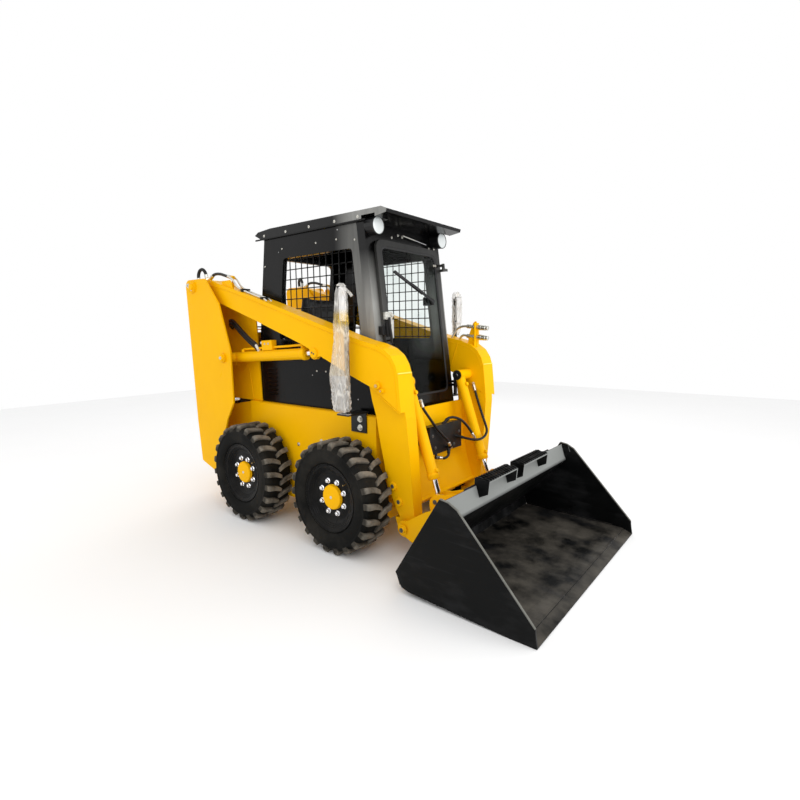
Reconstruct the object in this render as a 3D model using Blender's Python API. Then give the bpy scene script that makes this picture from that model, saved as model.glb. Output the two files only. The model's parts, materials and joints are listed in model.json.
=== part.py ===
"""Skid steer loader with a dirt bucket, in metres: +X forward, +Y left, +Z up.

Shapes are written in the machine frame, whose origin is on the ground midway between the axles.
Each rigid body hangs on an empty that sits on its joint's axis, and the root empty then moves
the whole machine so that its origin lies under the middle of its length.
"""

import math

import bmesh
import bpy
from mathutils import Vector

# Driving dimensions
WHEELBASE = 0.908
TYRE_RADIUS = 0.343
TYRE_WIDTH = 0.215
CAB_HALF_WIDTH = 0.380
BUCKET_HALF_WIDTH = 0.745

# Clearances
TOUCH = 0.0003          # between pieces that touch
PIN_GAP = 0.0005        # beside a boss that turns on its pin
RUN_GAP = 0.006         # between pieces that move past each other
LAP = 0.001             # how far a plate's end stays inside the plate that it is welded to

# Plates and walls
CAB_WALL = 0.035
TUB_PLATE = 0.012
TOWER_INNER_PLATE = 0.009
TOWER_OUTER_PLATE = 0.012
BUCKET_PLATE = 0.010

# Places across the machine, as distances from its middle plane
TOWER_INNER = CAB_HALF_WIDTH + 0.004
TOWER_INNER_FACE = TOWER_INNER + TOWER_INNER_PLATE
ARM_INNER = TOWER_INNER_FACE + RUN_GAP
ARM_WIDTH = 0.128
ARM_OUTER = ARM_INNER + ARM_WIDTH
LEG_WIDTH = 0.092
LEG_OUTER = ARM_INNER + LEG_WIDTH
LEG_TOP = 0.890         # height at which the legs have these distances; below it they lean inwards
LEG_INNER_LEAN = 0.111
LEG_OUTER_LEAN = 0.132
TOWER_OUTER_FACE = ARM_OUTER + 0.041
TOWER_OUTER = TOWER_OUTER_FACE + TOWER_OUTER_PLATE
TUB_HALF_WIDTH = ARM_INNER + 0.021
TUB_REAR_HALF_WIDTH = TUB_HALF_WIDTH - 0.020
TYRE_INNER = TUB_HALF_WIDTH + 0.020

# Places along the machine: offsets from the nearer axle
FRONT_X = WHEELBASE / 2
REAR_X = -WHEELBASE / 2
REAR_OVERHANG = 0.766
BUCKET_REACH = 1.372
X_MID = (FRONT_X + BUCKET_REACH + REAR_X - REAR_OVERHANG) / 2

# Heights
TUB_TOP = 0.823
TUB_BELLY = 0.168
CAB_TOP = 1.985
DOOR_BOTTOM = 0.860
DOOR_TOP = 1.890
SEAT_PLATFORM = 0.950
FOOTWELL = 0.600

# Cab front and rear planes lean: x at a reference height, and shift per metre of height
CAB_FRONT_X = FRONT_X + 0.085
CAB_FRONT_Z = 1.953
CAB_LEAN = 0.122
CAB_REAR_X = REAR_X - 0.132
CAB_REAR_Z = 0.840
CAB_REAR_LEAN = -0.128
FRAME_DEPTH = 0.060
DOOR_GAP = 0.005
DOOR_DEPTH = 0.026
DOOR_HALF_WIDTH = 0.325
DOORWAY_HALF_WIDTH = 0.290
CUT_CORNER_Y = 0.235
CUT_CORNER_TOP = 1.130
CUT_CORNER_DROP = 0.055
DOOR_AXIS_AHEAD = 0.050
DOOR_AXIS_Y = 0.300
KNUCKLE_RADIUS = 0.011

# Tower's rear plane leans back
TOWER_REAR_X = REAR_X - 0.658
TOWER_REAR_Z = 0.646
TOWER_REAR_LEAN = 0.0744
REAR_DOOR_HALF_WIDTH = CAB_HALF_WIDTH - 0.005
REAR_DOOR_AXIS_BEHIND = 0.048
REAR_DOOR_AXIS_Y = -(REAR_DOOR_HALF_WIDTH + 0.015)

# Joint places (x, z)
LIFT_PIVOT = (REAR_X - 0.629, 1.683)
LIFT_BASE = (REAR_X - 0.250, 1.149)
LIFT_EYE = (FRONT_X - 0.224, 1.200)
TILT_TOP = (FRONT_X + 0.331, 1.030)
TILT_EYE = (FRONT_X + 0.560, 0.350)
COUPLER_PIVOT = (FRONT_X + 0.416, 0.190)
HOOD_PIVOT = (REAR_X - 0.126, 1.345)
LAP_PIVOT = (REAR_X + 0.204, 1.250)

# Cylinders
LIFT_Y = ARM_INNER + 0.071
LIFT_BARREL_RADIUS = 0.038
LIFT_ROD_RADIUS = 0.020
LIFT_EYE_RADIUS = 0.032
LIFT_EYE_WIDTH = 0.058
TILT_Y = ARM_INNER - 0.114
TILT_BARREL_RADIUS = 0.0325
TILT_ROD_RADIUS = 0.0165
TILT_EYE_RADIUS = 0.031
TILT_EYE_WIDTH = 0.040
LIFT_BARREL_LENGTH = 0.800
TILT_BARREL_LENGTH = 0.591
LIFT_ROD_START = 0.075  # how far from the barrel's pin the rod's inner end is
TILT_ROD_START = 0.150
CYLINDER_LIP = 0.002

AXLE_RADIUS = 0.050
RIM_RADIUS = 0.1905
DISC_OUTER = TYRE_INNER + 0.1625
DISC_INNER = DISC_OUTER - 0.010
ARCH_GAP = 0.044

# Small places, in metres; offsets along the machine are from the nearer axle
ENGINE_RAILS = (-0.520, -0.240)
ENGINE_BOTTOM = 0.330
WINDOW_HEIGHTS = (1.280, 1.838)
LOUVRE_HEIGHTS = (0.880, 0.910, 0.940, 0.970, 1.000, 1.030, 1.060)
GRILLE_HEIGHTS = (0.680, 0.760, 0.840, 0.920, 1.000, 1.080, 1.160)
LIGHT_Y = 0.331
LIGHT_Z = 1.957
ROOF_HALF_WIDTH = CAB_HALF_WIDTH + 0.011
KNUCKLE_HEIGHT = 0.026
DOOR_KNUCKLES = (0.940, 1.740)
REAR_DOOR_KNUCKLES = (0.780, 1.180)
HOOD_KNUCKLE_Y = 0.200
CROSS_LINE = ((0.281, 0.845), (0.290, 0.720), (0.308, 0.620), (0.345, 0.480), (0.385, 0.380),
              (0.408, 0.325), (0.430, 0.315))
MOUNT_ANGLE = math.radians(57.05)
MOUNT_AHEAD = 0.197
COUPLER_EAR = 0.012
ROD_EAR = 0.010
FOOT_BOSS = (0.3105, 0.4295)
FOOT_BOSS_RADIUS = 0.040
BUCKET_CLEAR = 0.002
STEPS = ((-0.430, -0.110), (-0.030, 0.310))

ROUND = 16              # sides of a round boss or cylinder
WHEEL_SIDES = 28

# Hoses: radii, and routes as (ahead, across, up) places
SMALL_HOSE = 0.0085
MIDDLE_HOSE = 0.0110
LARGE_HOSE = 0.0125
HOSE_POINT_EVERY = 2    # diameters between the points of a hose
SMOOTH_STEPS = 8        # points worked out between two places of a route
TILT_HOSES = {
    "hose_tilt_near": (
        (0.846, -0.232, 0.900), (0.850, -0.218, 0.862), (0.860, -0.178, 0.809), (0.868, -0.120, 0.742),
        (0.876, -0.059, 0.682), (0.884, 0.004, 0.626), (0.886, 0.015, 0.600)),
    "hose_tilt_loop": (
        (0.842, 0.022, 0.746), (0.847, 0.030, 0.763), (0.867, 0.054, 0.775), (0.888, 0.080, 0.771),
        (0.905, 0.110, 0.756), (0.916, 0.142, 0.730), (0.923, 0.178, 0.695), (0.930, 0.208, 0.657),
        (0.937, 0.228, 0.622)),
    "hose_tilt_far": (
        (0.8625, 0.139, 0.636), (0.905, 0.152, 0.629), (0.945, 0.166, 0.622), (0.978, 0.188, 0.618),
        (0.990, 0.230, 0.619), (0.989, 0.282, 0.630), (0.980, 0.324, 0.656), (0.958, 0.345, 0.691),
        (0.929, 0.354, 0.748), (0.896, 0.366, 0.815), (0.862, 0.378, 0.891), (0.838, 0.388, 0.951)),
    "hose_tilt_elbow": (
        (0.876, 0.016, 0.572), (0.886, 0.000, 0.543), (0.885, -0.038, 0.528), (0.866, -0.080, 0.536)),
}
# Unions on the hose block: hose, whether at its far end, length
HOSE_UNIONS = (("hose_tilt_near", True, 0.012), ("hose_tilt_elbow", False, 0.012),
               ("hose_tilt_elbow", True, 0.026), ("hose_tilt_loop", False, 0.026),
               ("hose_tilt_far", False, 0.018))
UNION_RADIUS = 0.0115
# Necks that carry the unions: where each starts in a union and ends inside the block
UNION_NECKS = (((0.882, 0.019, 0.586), (0.845, 0.019, 0.586)),
               ((0.858, -0.095, 0.541), (0.845, -0.095, 0.585)))
NECK_RADIUS = 0.008
PORT_RADIUS = 0.0140     # of the boss on a lift barrel that its hose screws into
PORT_LENGTH = 0.024
ARM_FITTING_LENGTH = 0.034
ARM_FITTING_RADIUS = 0.0140
ARM_POST = ((-0.712, 0.470, 1.737), (-0.712, 0.470, 1.655))    # carries the arm hose's front fitting
LIFT_HOSE = ((-0.850, 0.4033, 1.392), (-0.832, 0.430, 1.408), (-0.785, 0.460, 1.424), (-0.724, 0.470, 1.412),
             (-0.627, 0.470, 1.345), (-0.540, 0.470, 1.290), (-0.478, 0.470, 1.258),
             (-0.444, 0.470, 1.236), (-0.428, 0.470, 1.214))
TOWER_HOSE = ((-1.130, 0.500, 1.736), (-1.142, 0.498, 1.780), (-1.132, 0.492, 1.816),
              (-1.105, 0.484, 1.828), (-1.078, 0.478, 1.806), (-1.062, 0.474, 1.762))
ARM_HOSE = ((-1.010, 0.470, 1.752), (-0.960, 0.470, 1.778), (-0.880, 0.470, 1.776),
            (-0.800, 0.470, 1.756), (-0.735, 0.470, 1.742))

YELLOW = ("machine_yellow", (0.92, 0.48, 0.02), 0.35, 0.0)
BLACK = ("cab_black", (0.01, 0.01, 0.011), 0.15, 0.0)
SATIN_BLACK = ("bucket_black", (0.02, 0.02, 0.02), 0.45, 0.0)
RIM_BLACK = ("rim_black", (0.015, 0.015, 0.016), 0.25, 0.0)
TYRE_GREY = ("tyre_rubber", (0.06, 0.055, 0.05), 0.85, 0.0)
CHROME = ("rod_chrome", (0.85, 0.85, 0.86), 0.08, 1.0)
GREY_IRON = ("engine_iron", (0.12, 0.12, 0.12), 0.6, 0.4)
SEAT_CLOTH = ("seat_black", (0.03, 0.03, 0.03), 0.8, 0.0)
PLASTIC = ("control_plastic", (0.02, 0.02, 0.02), 0.55, 0.0)
RUBBER = ("hose_rubber", (0.02, 0.02, 0.02), 0.50, 0.0)
GLASS = ("door_glass", (0.10, 0.12, 0.12), 0.05, 0.0)
LENS = ("lamp_lens", (0.75, 0.76, 0.78), 0.1, 0.0)


def material(finish):
    """Return the Principled material for one (name, colour, roughness, metallic) finish."""
    name, colour, roughness, metallic = finish
    found = bpy.data.materials.get(name)
    if found:
        return found
    made = bpy.data.materials.new(name)
    made.use_nodes = True
    shader = made.node_tree.nodes["Principled BSDF"]
    shader.inputs["Base Color"].default_value = (*colour, 1.0)
    shader.inputs["Roughness"].default_value = roughness
    shader.inputs["Metallic"].default_value = metallic
    made.diffuse_color = (*colour, 1.0)
    return made


# Outlines

def ahead(points):
    """Turn (offset from the front axle, height) pairs into places in the machine frame."""
    return [(FRONT_X + offset, height) for offset, height in points]


def astern(points):
    """Turn (offset from the rear axle, height) pairs into places in the machine frame."""
    return [(REAR_X + offset, height) for offset, height in points]


def arc(centre, radius, start, end, steps):
    """Return steps + 1 points on an arc, with its angles in degrees."""
    angles = [math.radians(start + (end - start) * i / steps) for i in range(steps + 1)]
    return [(centre[0] + radius * math.cos(a), centre[1] + radius * math.sin(a)) for a in angles]


def filleted(outline, steps=4):
    """Round the corners of a closed outline of (u, v, radius) corners, by less on short sides."""
    rounded = []
    count = len(outline)
    for i, (u, v, radius) in enumerate(outline):
        if radius == 0:
            rounded.append((u, v))
            continue
        here = Vector((u, v))
        back = Vector(outline[i - 1][:2]) - here
        forth = Vector(outline[(i + 1) % count][:2]) - here
        half = back.angle(forth) / 2
        reach = min(radius / math.tan(half), 0.45 * back.length, 0.45 * forth.length)
        start, end = here + back.normalized() * reach, here + forth.normalized() * reach
        for step in range(steps + 1):
            t = step / steps
            point = start * (1 - t) ** 2 + here * 2 * t * (1 - t) + end * t ** 2
            rounded.append((point.x, point.y))
    return rounded


def inset(outline, distance):
    """Move each side of a closed outline inwards."""
    count = len(outline)
    area = sum(outline[i - 1][0] * outline[i][1] - outline[i][0] * outline[i - 1][1] for i in range(count))
    turn = 1 if area > 0 else -1
    moved = []
    for i in range(count):
        here = Vector(outline[i])
        before = (here - Vector(outline[i - 1])).normalized()
        after = (Vector(outline[(i + 1) % count]) - here).normalized()
        normal_before = Vector((-before.y, before.x)) * turn
        normal_after = Vector((-after.y, after.x)) * turn
        bisector = (normal_before + normal_after) / (1 + normal_before.dot(normal_after))
        moved.append(tuple(here + bisector * distance))
    return moved


# Solids

def extruded(outline, low, high, place):
    """Extrude a closed outline from low to high; place turns (u, v, depth) into (x, y, z)."""
    shape = bmesh.new()
    rings = [[shape.verts.new(place(u, v, depth)) for u, v in outline] for depth in (low, high)]
    for ring in rings:
        shape.faces.new(ring)
    for i in range(len(outline)):
        shape.faces.new((rings[0][i - 1], rings[0][i], rings[1][i], rings[1][i - 1]))
    bmesh.ops.recalc_face_normals(shape, faces=shape.faces)
    return shape


def side_plate(outline, y_low, y_high):
    """Extrude an (x, z) outline across the machine."""
    return extruded(outline, y_low, y_high, lambda u, v, depth: (u, depth, v))


def cross_plate(outline, x_low, x_high):
    """Extrude a (y, z) outline along the machine."""
    return extruded(outline, x_low, x_high, lambda u, v, depth: (depth, u, v))


def block(x, y, z):
    """Make a box from (low, high) pairs."""
    return side_plate([(x[0], z[0]), (x[1], z[0]), (x[1], z[1]), (x[0], z[1])], y[0], y[1])


def turned(profile, base, axis, sides=ROUND):
    """Turn a profile of (distance along the axis, radius) pairs about an axis through base.

    A profile that starts and ends at radius 0 makes a solid, any other one makes a ring.
    """
    shape = bmesh.new()
    turn = Vector((0, 0, 1)).rotation_difference(Vector(axis).normalized())
    rings = []
    for along, radius in profile:
        if radius == 0:
            rings.append([shape.verts.new(turn @ Vector((0, 0, along)) + Vector(base))])
            continue
        angles = [2 * math.pi * (i + 0.5) / sides for i in range(sides)]
        rings.append([
            shape.verts.new(turn @ Vector((radius * math.cos(a), radius * math.sin(a), along)) + Vector(base))
            for a in angles
        ])
    pairs = list(zip(rings, rings[1:]))
    if profile[0][1] > 0:
        pairs.append((rings[-1], rings[0]))
    for first, second in pairs:
        for i in range(sides):
            corners = {first[(i - 1) % len(first)]: None, first[i % len(first)]: None,
                       second[i % len(second)]: None, second[(i - 1) % len(second)]: None}
            shape.faces.new(list(corners))
    bmesh.ops.recalc_face_normals(shape, faces=shape.faces)
    return shape


def bar(start, end, radius, sides=ROUND):
    """Make a round bar between two places."""
    axis = Vector(end) - Vector(start)
    return turned([(0, 0), (0, radius), (axis.length, radius), (axis.length, 0)], start, axis, sides)


def cross_bar(centre, radius, y_low, y_high, sides=ROUND):
    """Make a round bar across the machine at an (x, z) place."""
    low, high = sorted((y_low, y_high))
    return bar((centre[0], low, centre[1]), (centre[0], high, centre[1]), radius, sides)


def leaned(shape, slope, height):
    """Shift a solid along X in proportion to how far it lies below a height."""
    for vert in shape.verts:
        vert.co.x += slope * (height - vert.co.z)
    return shape


def lattice(corners, columns, rows, bar_width, y_low, y_high):
    """Make a flat grille of crossing bars between four (x, z) corners.

    The corners run from bottom rear to bottom front, top front and top rear.
    """
    shape = bmesh.new()
    bottom_rear, bottom_front, top_front, top_rear = [Vector(corner) for corner in corners]
    length = (bottom_front - bottom_rear).length
    height = (top_rear - bottom_rear).length

    def edges(count, size):
        share = bar_width / size
        starts = [i * (1 - share) / count for i in range(count + 1)]
        return [value for start in starts for value in (start, start + share)]

    def place(s, t):
        return (bottom_rear * (1 - s) + bottom_front * s) * (1 - t) + (top_rear * (1 - s) + top_front * s) * t

    columns_at, rows_at = edges(columns, length), edges(rows, height)
    sheets = []
    for y in (y_low, y_high):
        points = [[place(s, t) for s in columns_at] for t in rows_at]
        sheets.append([[shape.verts.new((p.x, y, p.y)) for p in row] for row in points])
    for i in range(len(rows_at) - 1):
        for j in range(len(columns_at) - 1):
            if i % 2 and j % 2:
                continue
            for sheet in sheets:
                shape.faces.new((sheet[i][j], sheet[i][j + 1], sheet[i + 1][j + 1], sheet[i + 1][j]))
    low, high = sheets
    low_verts = {vert: high[i][j] for i, row in enumerate(low) for j, vert in enumerate(row)}
    for edge in [e for e in shape.edges if len(e.link_faces) == 1 and e.verts[0] in low_verts]:
        first, second = edge.verts
        shape.faces.new((first, second, low_verts[second], low_verts[first]))
    bmesh.ops.recalc_face_normals(shape, faces=shape.faces)
    return shape


class Body:
    """A rigid group of pieces, carried by an empty on its joint's axis."""

    def __init__(self, name, origin=(0, 0, 0), parent=None):
        self.origin = Vector(origin)
        self.empty = bpy.data.objects.new(name + "_frame", None)
        bpy.context.scene.collection.objects.link(self.empty)
        start = parent.origin if parent else Vector((X_MID, 0, 0))
        self.empty.parent = parent.empty if parent else None
        self.empty.location = self.origin - start

    def link(self, name, data):
        """Put mesh or curve data on this body as a named object."""
        made = bpy.data.objects.new(name, data)
        bpy.context.scene.collection.objects.link(made)
        made.parent = self.empty
        return made

    def solid(self, name, shape):
        """Put one solid, written in the machine frame, on this body."""
        bmesh.ops.translate(shape, verts=shape.verts, vec=-self.origin)
        mesh = bpy.data.meshes.new(name)
        shape.to_mesh(mesh)
        shape.free()
        mesh.shade_smooth()
        mesh.set_sharp_from_angle(angle=math.radians(35))
        return self.link(name, mesh)

    def piece(self, name, finish, shape, *changes):
        """Make a named piece from one solid and the solids added to it or cut from it, in turn."""
        made = self.solid(name, shape)
        made.data.materials.append(material(finish))
        for number, (operation, extra) in enumerate(changes):
            operand = self.solid(f"{name}_{operation.lower()}_{number}", extra)
            operand.hide_render = True
            operand.display_type = "WIRE"
            operand.data.materials.append(material(finish))
            modifier = made.modifiers.new(operation.title(), "BOOLEAN")
            modifier.operation = operation
            modifier.solver = "EXACT"
            modifier.object = operand
        return made


def add(shape):
    """Mark a solid to be joined to a piece."""
    return "UNION", shape


def cut(shape):
    """Mark a solid to be cut from a piece."""
    return "DIFFERENCE", shape


def span(side, near, far):
    """Return the (low, high) stretch across the machine between two distances on one side."""
    return tuple(sorted((side * near, side * far)))


SIDES = ((1, "left"), (-1, "right"))


# Leaning planes

def cab_front(height):
    """Return where the cab's front plane is at a height."""
    return CAB_FRONT_X + CAB_LEAN * (CAB_FRONT_Z - height)


def cab_rear(height):
    """Return where the cab's rear plane is at a height."""
    return CAB_REAR_X + CAB_REAR_LEAN * (CAB_REAR_Z - height)


def tower_rear(height):
    """Return where the towers' rear plane is at a height."""
    return TOWER_REAR_X + TOWER_REAR_LEAN * (TOWER_REAR_Z - height)


def rear_strip(low, high, depth):
    """Return the side view of a plate that lies just inside the towers' rear plane."""
    return [(tower_rear(low) + LAP, low), (tower_rear(low) + depth, low),
            (tower_rear(high) + depth, high), (tower_rear(high) + LAP, high)]


# Frame

def build_chassis(root):
    """Build the tub with its axle bores, top opening, engine rails and engine bay opening."""
    outline = ahead([(0.206, TUB_BELLY), (0.246, 0.250), (0.191, 0.400), (0.191, TUB_TOP)])
    outline += astern([(-0.176, TUB_TOP), (-0.206, 0.813), (-0.650, 0.735), (-0.650, 0.555),
                       (-REAR_OVERHANG, 0.545), (-REAR_OVERHANG, 0.345), (-0.619, 0.300),
                       (-0.346, TUB_BELLY)])
    hollow = TUB_REAR_HALF_WIDTH - TUB_PLATE
    opening = CAB_HALF_WIDTH - CAB_WALL - 0.015
    changes = [cut(side_plate(inset(outline, TUB_PLATE), -hollow, hollow))]
    changes.append(cut(block((REAR_X - 0.630, FRONT_X + 0.151), (-opening, opening), (0.700, 0.900))))
    changes.append(cut(block((REAR_X - 0.700, REAR_X - 0.620), (-opening, opening), (0.575, 0.900))))
    for side, _ in SIDES:
        beside = span(side, TUB_REAR_HALF_WIDTH, 1.0)
        changes.append(cut(block((REAR_X - 1.0, REAR_X - 0.176), beside, (0, 1))))
    for axle_x in (FRONT_X, REAR_X):
        changes.append(cut(cross_bar((axle_x, TYRE_RADIUS), AXLE_RADIUS + TOUCH, -1, 1)))
    for rail in ENGINE_RAILS:
        x = (REAR_X + rail - 0.020, REAR_X + rail + 0.020)
        across = (-hollow - 0.004, hollow + 0.004)
        changes.append(add(block(x, across, (ENGINE_BOTTOM - 0.040, ENGINE_BOTTOM))))
    root.piece("chassis", YELLOW, side_plate(outline, -TUB_HALF_WIDTH, TUB_HALF_WIDTH), *changes)


def build_towers(root):
    """Build the two towers: outer and inner plates, rear web, wheel arch and pin heads."""
    arch_radius = TYRE_RADIUS + ARCH_GAP
    arch = arc((REAR_X, TYRE_RADIUS), arch_radius, 133.4, 186.4, 10)
    outer = rounded_top() + astern([(-0.287, 1.544), (-0.164, 1.210), (-0.150, 0.825), (-0.241, 0.689)])
    outer += arch + astern([(-0.442, 0.273), (-0.619, 0.329)])
    outer += [(tower_rear(z), z) for z in (0.646, 1.640)]
    inner_base = TUB_TOP + TOUCH
    inner = rounded_top() + astern([(-0.104, 1.415), (-0.082, 1.108), (-0.068, inner_base)])
    inner += [(tower_rear(z), z) for z in (inner_base, 1.640)]
    liner = arc((REAR_X, TYRE_RADIUS), arch_radius + LAP, 135, 185, 10)
    liner += arc((REAR_X, TYRE_RADIUS), arch_radius + 0.008, 185, 135, 10)
    low_web = astern([(-0.619 + LAP, 0.329 + LAP), (-0.609, 0.329 + LAP)])
    low_web += rear_strip(0.646, 0.850, 0.011)[1:]
    low_web.append(rear_strip(0.646, 0.850, 0.011)[0])
    rear_edge = TOWER_OUTER - LAP
    for side, name in SIDES:
        changes = [
            add(side_plate(inner, *span(side, TOWER_INNER, TOWER_INNER_FACE))),
            add(side_plate(rear_strip(0.826, 1.600, 0.010), *span(side, TOWER_INNER + LAP, rear_edge))),
            add(side_plate(low_web, *span(side, TUB_REAR_HALF_WIDTH + TOUCH, TOWER_OUTER - 2 * LAP))),
            add(side_plate(liner, *span(side, TUB_HALF_WIDTH + TOUCH, TOWER_OUTER - 3 * LAP))),
        ]
        for place, radius in ((LIFT_PIVOT, 0.045), (LIFT_BASE, 0.032)):
            cap = span(side, TOWER_OUTER - 0.002, TOWER_OUTER + 0.010)
            changes.append(add(cross_bar(place, radius, *cap)))
        if side < 0:
            changes += [add(shape) for shape in rear_door_brackets()]
        shape = side_plate(outer, *span(side, TOWER_OUTER_FACE, TOWER_OUTER))
        root.piece(f"tower_{name}", YELLOW, shape, *changes)


def rounded_top():
    """Return the towers' top edge from rear to front, with rounded corners."""
    rear_corner = arc((tower_rear(1.690) + 0.050, 1.690), 0.050, 180, 90, 4)
    return rear_corner + arc((REAR_X - 0.476, 1.697), 0.040, 85, 25, 3)


def rear_door_axis(height):
    """Return where the rear door's hinge axis is at a height."""
    return Vector((tower_rear(height) - REAR_DOOR_AXIS_BEHIND, REAR_DOOR_AXIS_Y, height))


def rear_door_brackets():
    """Return the rear door's hinge knuckles and the lugs that carry them on the right tower."""
    shapes = []
    for low in REAR_DOOR_KNUCKLES:
        high = low + KNUCKLE_HEIGHT
        lug = extruded(
            [(-REAR_DOOR_AXIS_BEHIND, low + 0.004), (0.006, low + 0.004), (0.006, high - 0.004),
             (-REAR_DOOR_AXIS_BEHIND, high - 0.004)],
            REAR_DOOR_AXIS_Y - 0.011, -TOWER_INNER - 0.002, lambda u, v, depth: (tower_rear(v) + u, depth, v))
        shapes += [lug, bar(rear_door_axis(low), rear_door_axis(high), KNUCKLE_RADIUS, 12)]
    return shapes


def build_axles(root):
    """Build the two axle tubes with the flanges that bolt to the tub's sides."""
    end = DISC_INNER - PIN_GAP
    flange = TUB_HALF_WIDTH + TOUCH
    profile = [(-end, 0), (-end, AXLE_RADIUS), (-flange - 0.011, AXLE_RADIUS), (-flange - 0.011, 0.095),
               (-flange, 0.095), (-flange, AXLE_RADIUS), (flange, AXLE_RADIUS), (flange, 0.095),
               (flange + 0.011, 0.095), (flange + 0.011, AXLE_RADIUS), (end, AXLE_RADIUS), (end, 0)]
    for name, x in (("front_axle", FRONT_X), ("rear_axle", REAR_X)):
        root.piece(name, YELLOW, turned(profile, (x, 0, TYRE_RADIUS), (0, 1, 0)))


def build_wheels(root):
    """Build the four wheels, each a rim and a tyre that turn on one axis."""
    flat = 1 / math.cos(math.pi / WHEEL_SIDES)
    seat = RIM_RADIUS
    width = TYRE_WIDTH
    # (distance outwards from the tyre's inner face, radius)
    tyre = [(0.029, seat + TOUCH), (0.028, seat + 0.018), (0.010, seat + 0.024), (0.000, 0.255),
            (0.004, 0.295), (0.018, 0.326), (0.042, TYRE_RADIUS * flat), (width - 0.042, TYRE_RADIUS * flat),
            (width - 0.018, 0.326), (width - 0.004, 0.295), (width, 0.255), (width - 0.010, seat + 0.024),
            (width - 0.028, seat + 0.018), (width - 0.029, seat + TOUCH)]
    disc = DISC_OUTER - TYRE_INNER
    rim = [(disc, 0), (disc, 0.125), (disc - 0.012, 0.155), (width - 0.020, 0.180),
           (width - 0.015, seat + 0.017), (width - 0.025, seat + 0.017), (width - 0.026, seat),
           (0.026, seat), (0.025, seat + 0.017), (0.015, seat + 0.017), (0.020, 0.180),
           (disc - 0.026, 0.166), (disc - 0.010, 0.120), (disc - 0.010, 0)]
    for place, x in (("front", FRONT_X), ("rear", REAR_X)):
        for side, name in SIDES:
            centre = (x, side * TYRE_INNER, TYRE_RADIUS)
            wheel = Body(f"wheel_{place}_{name}", (x, side * (TYRE_INNER + width / 2), TYRE_RADIUS), root)
            wheel.piece(f"tyre_{place}_{name}", TYRE_GREY, turned(tyre, centre, (0, side, 0), WHEEL_SIDES))
            wheel.piece(f"rim_{place}_{name}", RIM_BLACK, turned(rim, centre, (0, side, 0), WHEEL_SIDES))


def build_engine(root):
    """Build the engine as one plain block on its rails."""
    x = (REAR_X - 0.600, REAR_X - 0.170)
    z = (ENGINE_BOTTOM + TOUCH, ENGINE_BOTTOM + 0.60)
    root.piece("engine_block", GREY_IRON, block(x, (-0.24, 0.24), z))


# Cab

def window_corners():
    """Return the side window's corners: bottom rear, bottom front, top front, top rear."""
    low, high = WINDOW_HEIGHTS
    return [(cab_rear(low) + 0.227, low), (cab_front(low) - 0.120, low),
            (cab_front(high) - 0.120, high), (cab_rear(high) + 0.227, high)]


def build_cab(root):
    """Build the cab's floor, walls, guards, roof and lights."""
    base = TUB_TOP + TOUCH
    inner = CAB_HALF_WIDTH - CAB_WALL
    rear_in = CAB_WALL + TOUCH
    side_outline = [(cab_rear(base) + rear_in, base), (cab_front(base) - FRAME_DEPTH - TOUCH, base),
                    (cab_front(CAB_TOP) - FRAME_DEPTH - TOUCH, CAB_TOP),
                    (cab_rear(CAB_TOP) + rear_in, CAB_TOP)]
    guard = inset(window_corners(), TOUCH)
    for side, name in SIDES:
        window = side_plate(filleted([(*point, 0.03) for point in window_corners()]), *span(side, 0.1, 1.0))
        slots = [cut(block((REAR_X + 0.004, REAR_X + 0.104), span(side, 0.1, 1.0), (z, z + 0.012)))
                 for z in LOUVRE_HEIGHTS]
        wall = side_plate(side_outline, *span(side, inner, CAB_HALF_WIDTH))
        root.piece(f"cab_side_{name}", BLACK, wall, cut(window), *slots)
        y = span(side, CAB_HALF_WIDTH - 0.014, CAB_HALF_WIDTH - 0.008)
        trim = side_plate(filleted([(*point, 0.03) for point in guard]), *span(side, 0.1, 1.0))
        root.piece(f"window_guard_{name}", BLACK, lattice(guard, 6, 4, 0.008, *y), ("INTERSECT", trim))
    front = cross_plate([(-CAB_HALF_WIDTH, base), (CAB_HALF_WIDTH, base),
                         (CAB_HALF_WIDTH, CAB_TOP), (-CAB_HALF_WIDTH, CAB_TOP)],
                        CAB_FRONT_X - FRAME_DEPTH, CAB_FRONT_X)
    doorway = cross_plate(filleted(door_corners(DOORWAY_HALF_WIDTH, 0.890, 1.862, 0.04, 0.04)),
                          CAB_FRONT_X - 1, CAB_FRONT_X + 1)
    changes = [cut(leaned(doorway, CAB_LEAN, CAB_FRONT_Z))] + [add(shape) for shape in door_brackets()]
    root.piece("cab_front_frame", BLACK, leaned(front, CAB_LEAN, CAB_FRONT_Z), *changes)
    rear = cross_plate([(-CAB_HALF_WIDTH, base), (CAB_HALF_WIDTH, base),
                        (CAB_HALF_WIDTH, CAB_TOP), (-CAB_HALF_WIDTH, CAB_TOP)],
                       CAB_REAR_X, CAB_REAR_X + CAB_WALL)
    rear_window = cross_plate(filleted([(-0.27, 1.42, 0.04), (0.27, 1.42, 0.04), (0.27, 1.86, 0.04),
                                        (-0.27, 1.86, 0.04)]), CAB_REAR_X - 1, CAB_REAR_X + 1)
    changes = [cut(leaned(rear_window, CAB_REAR_LEAN, CAB_REAR_Z))]
    changes += [add(shape) for shape in hood_brackets()]
    root.piece("cab_rear", BLACK, leaned(rear, CAB_REAR_LEAN, CAB_REAR_Z), *changes)
    build_roof(root)
    build_cab_floor(root)


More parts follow.
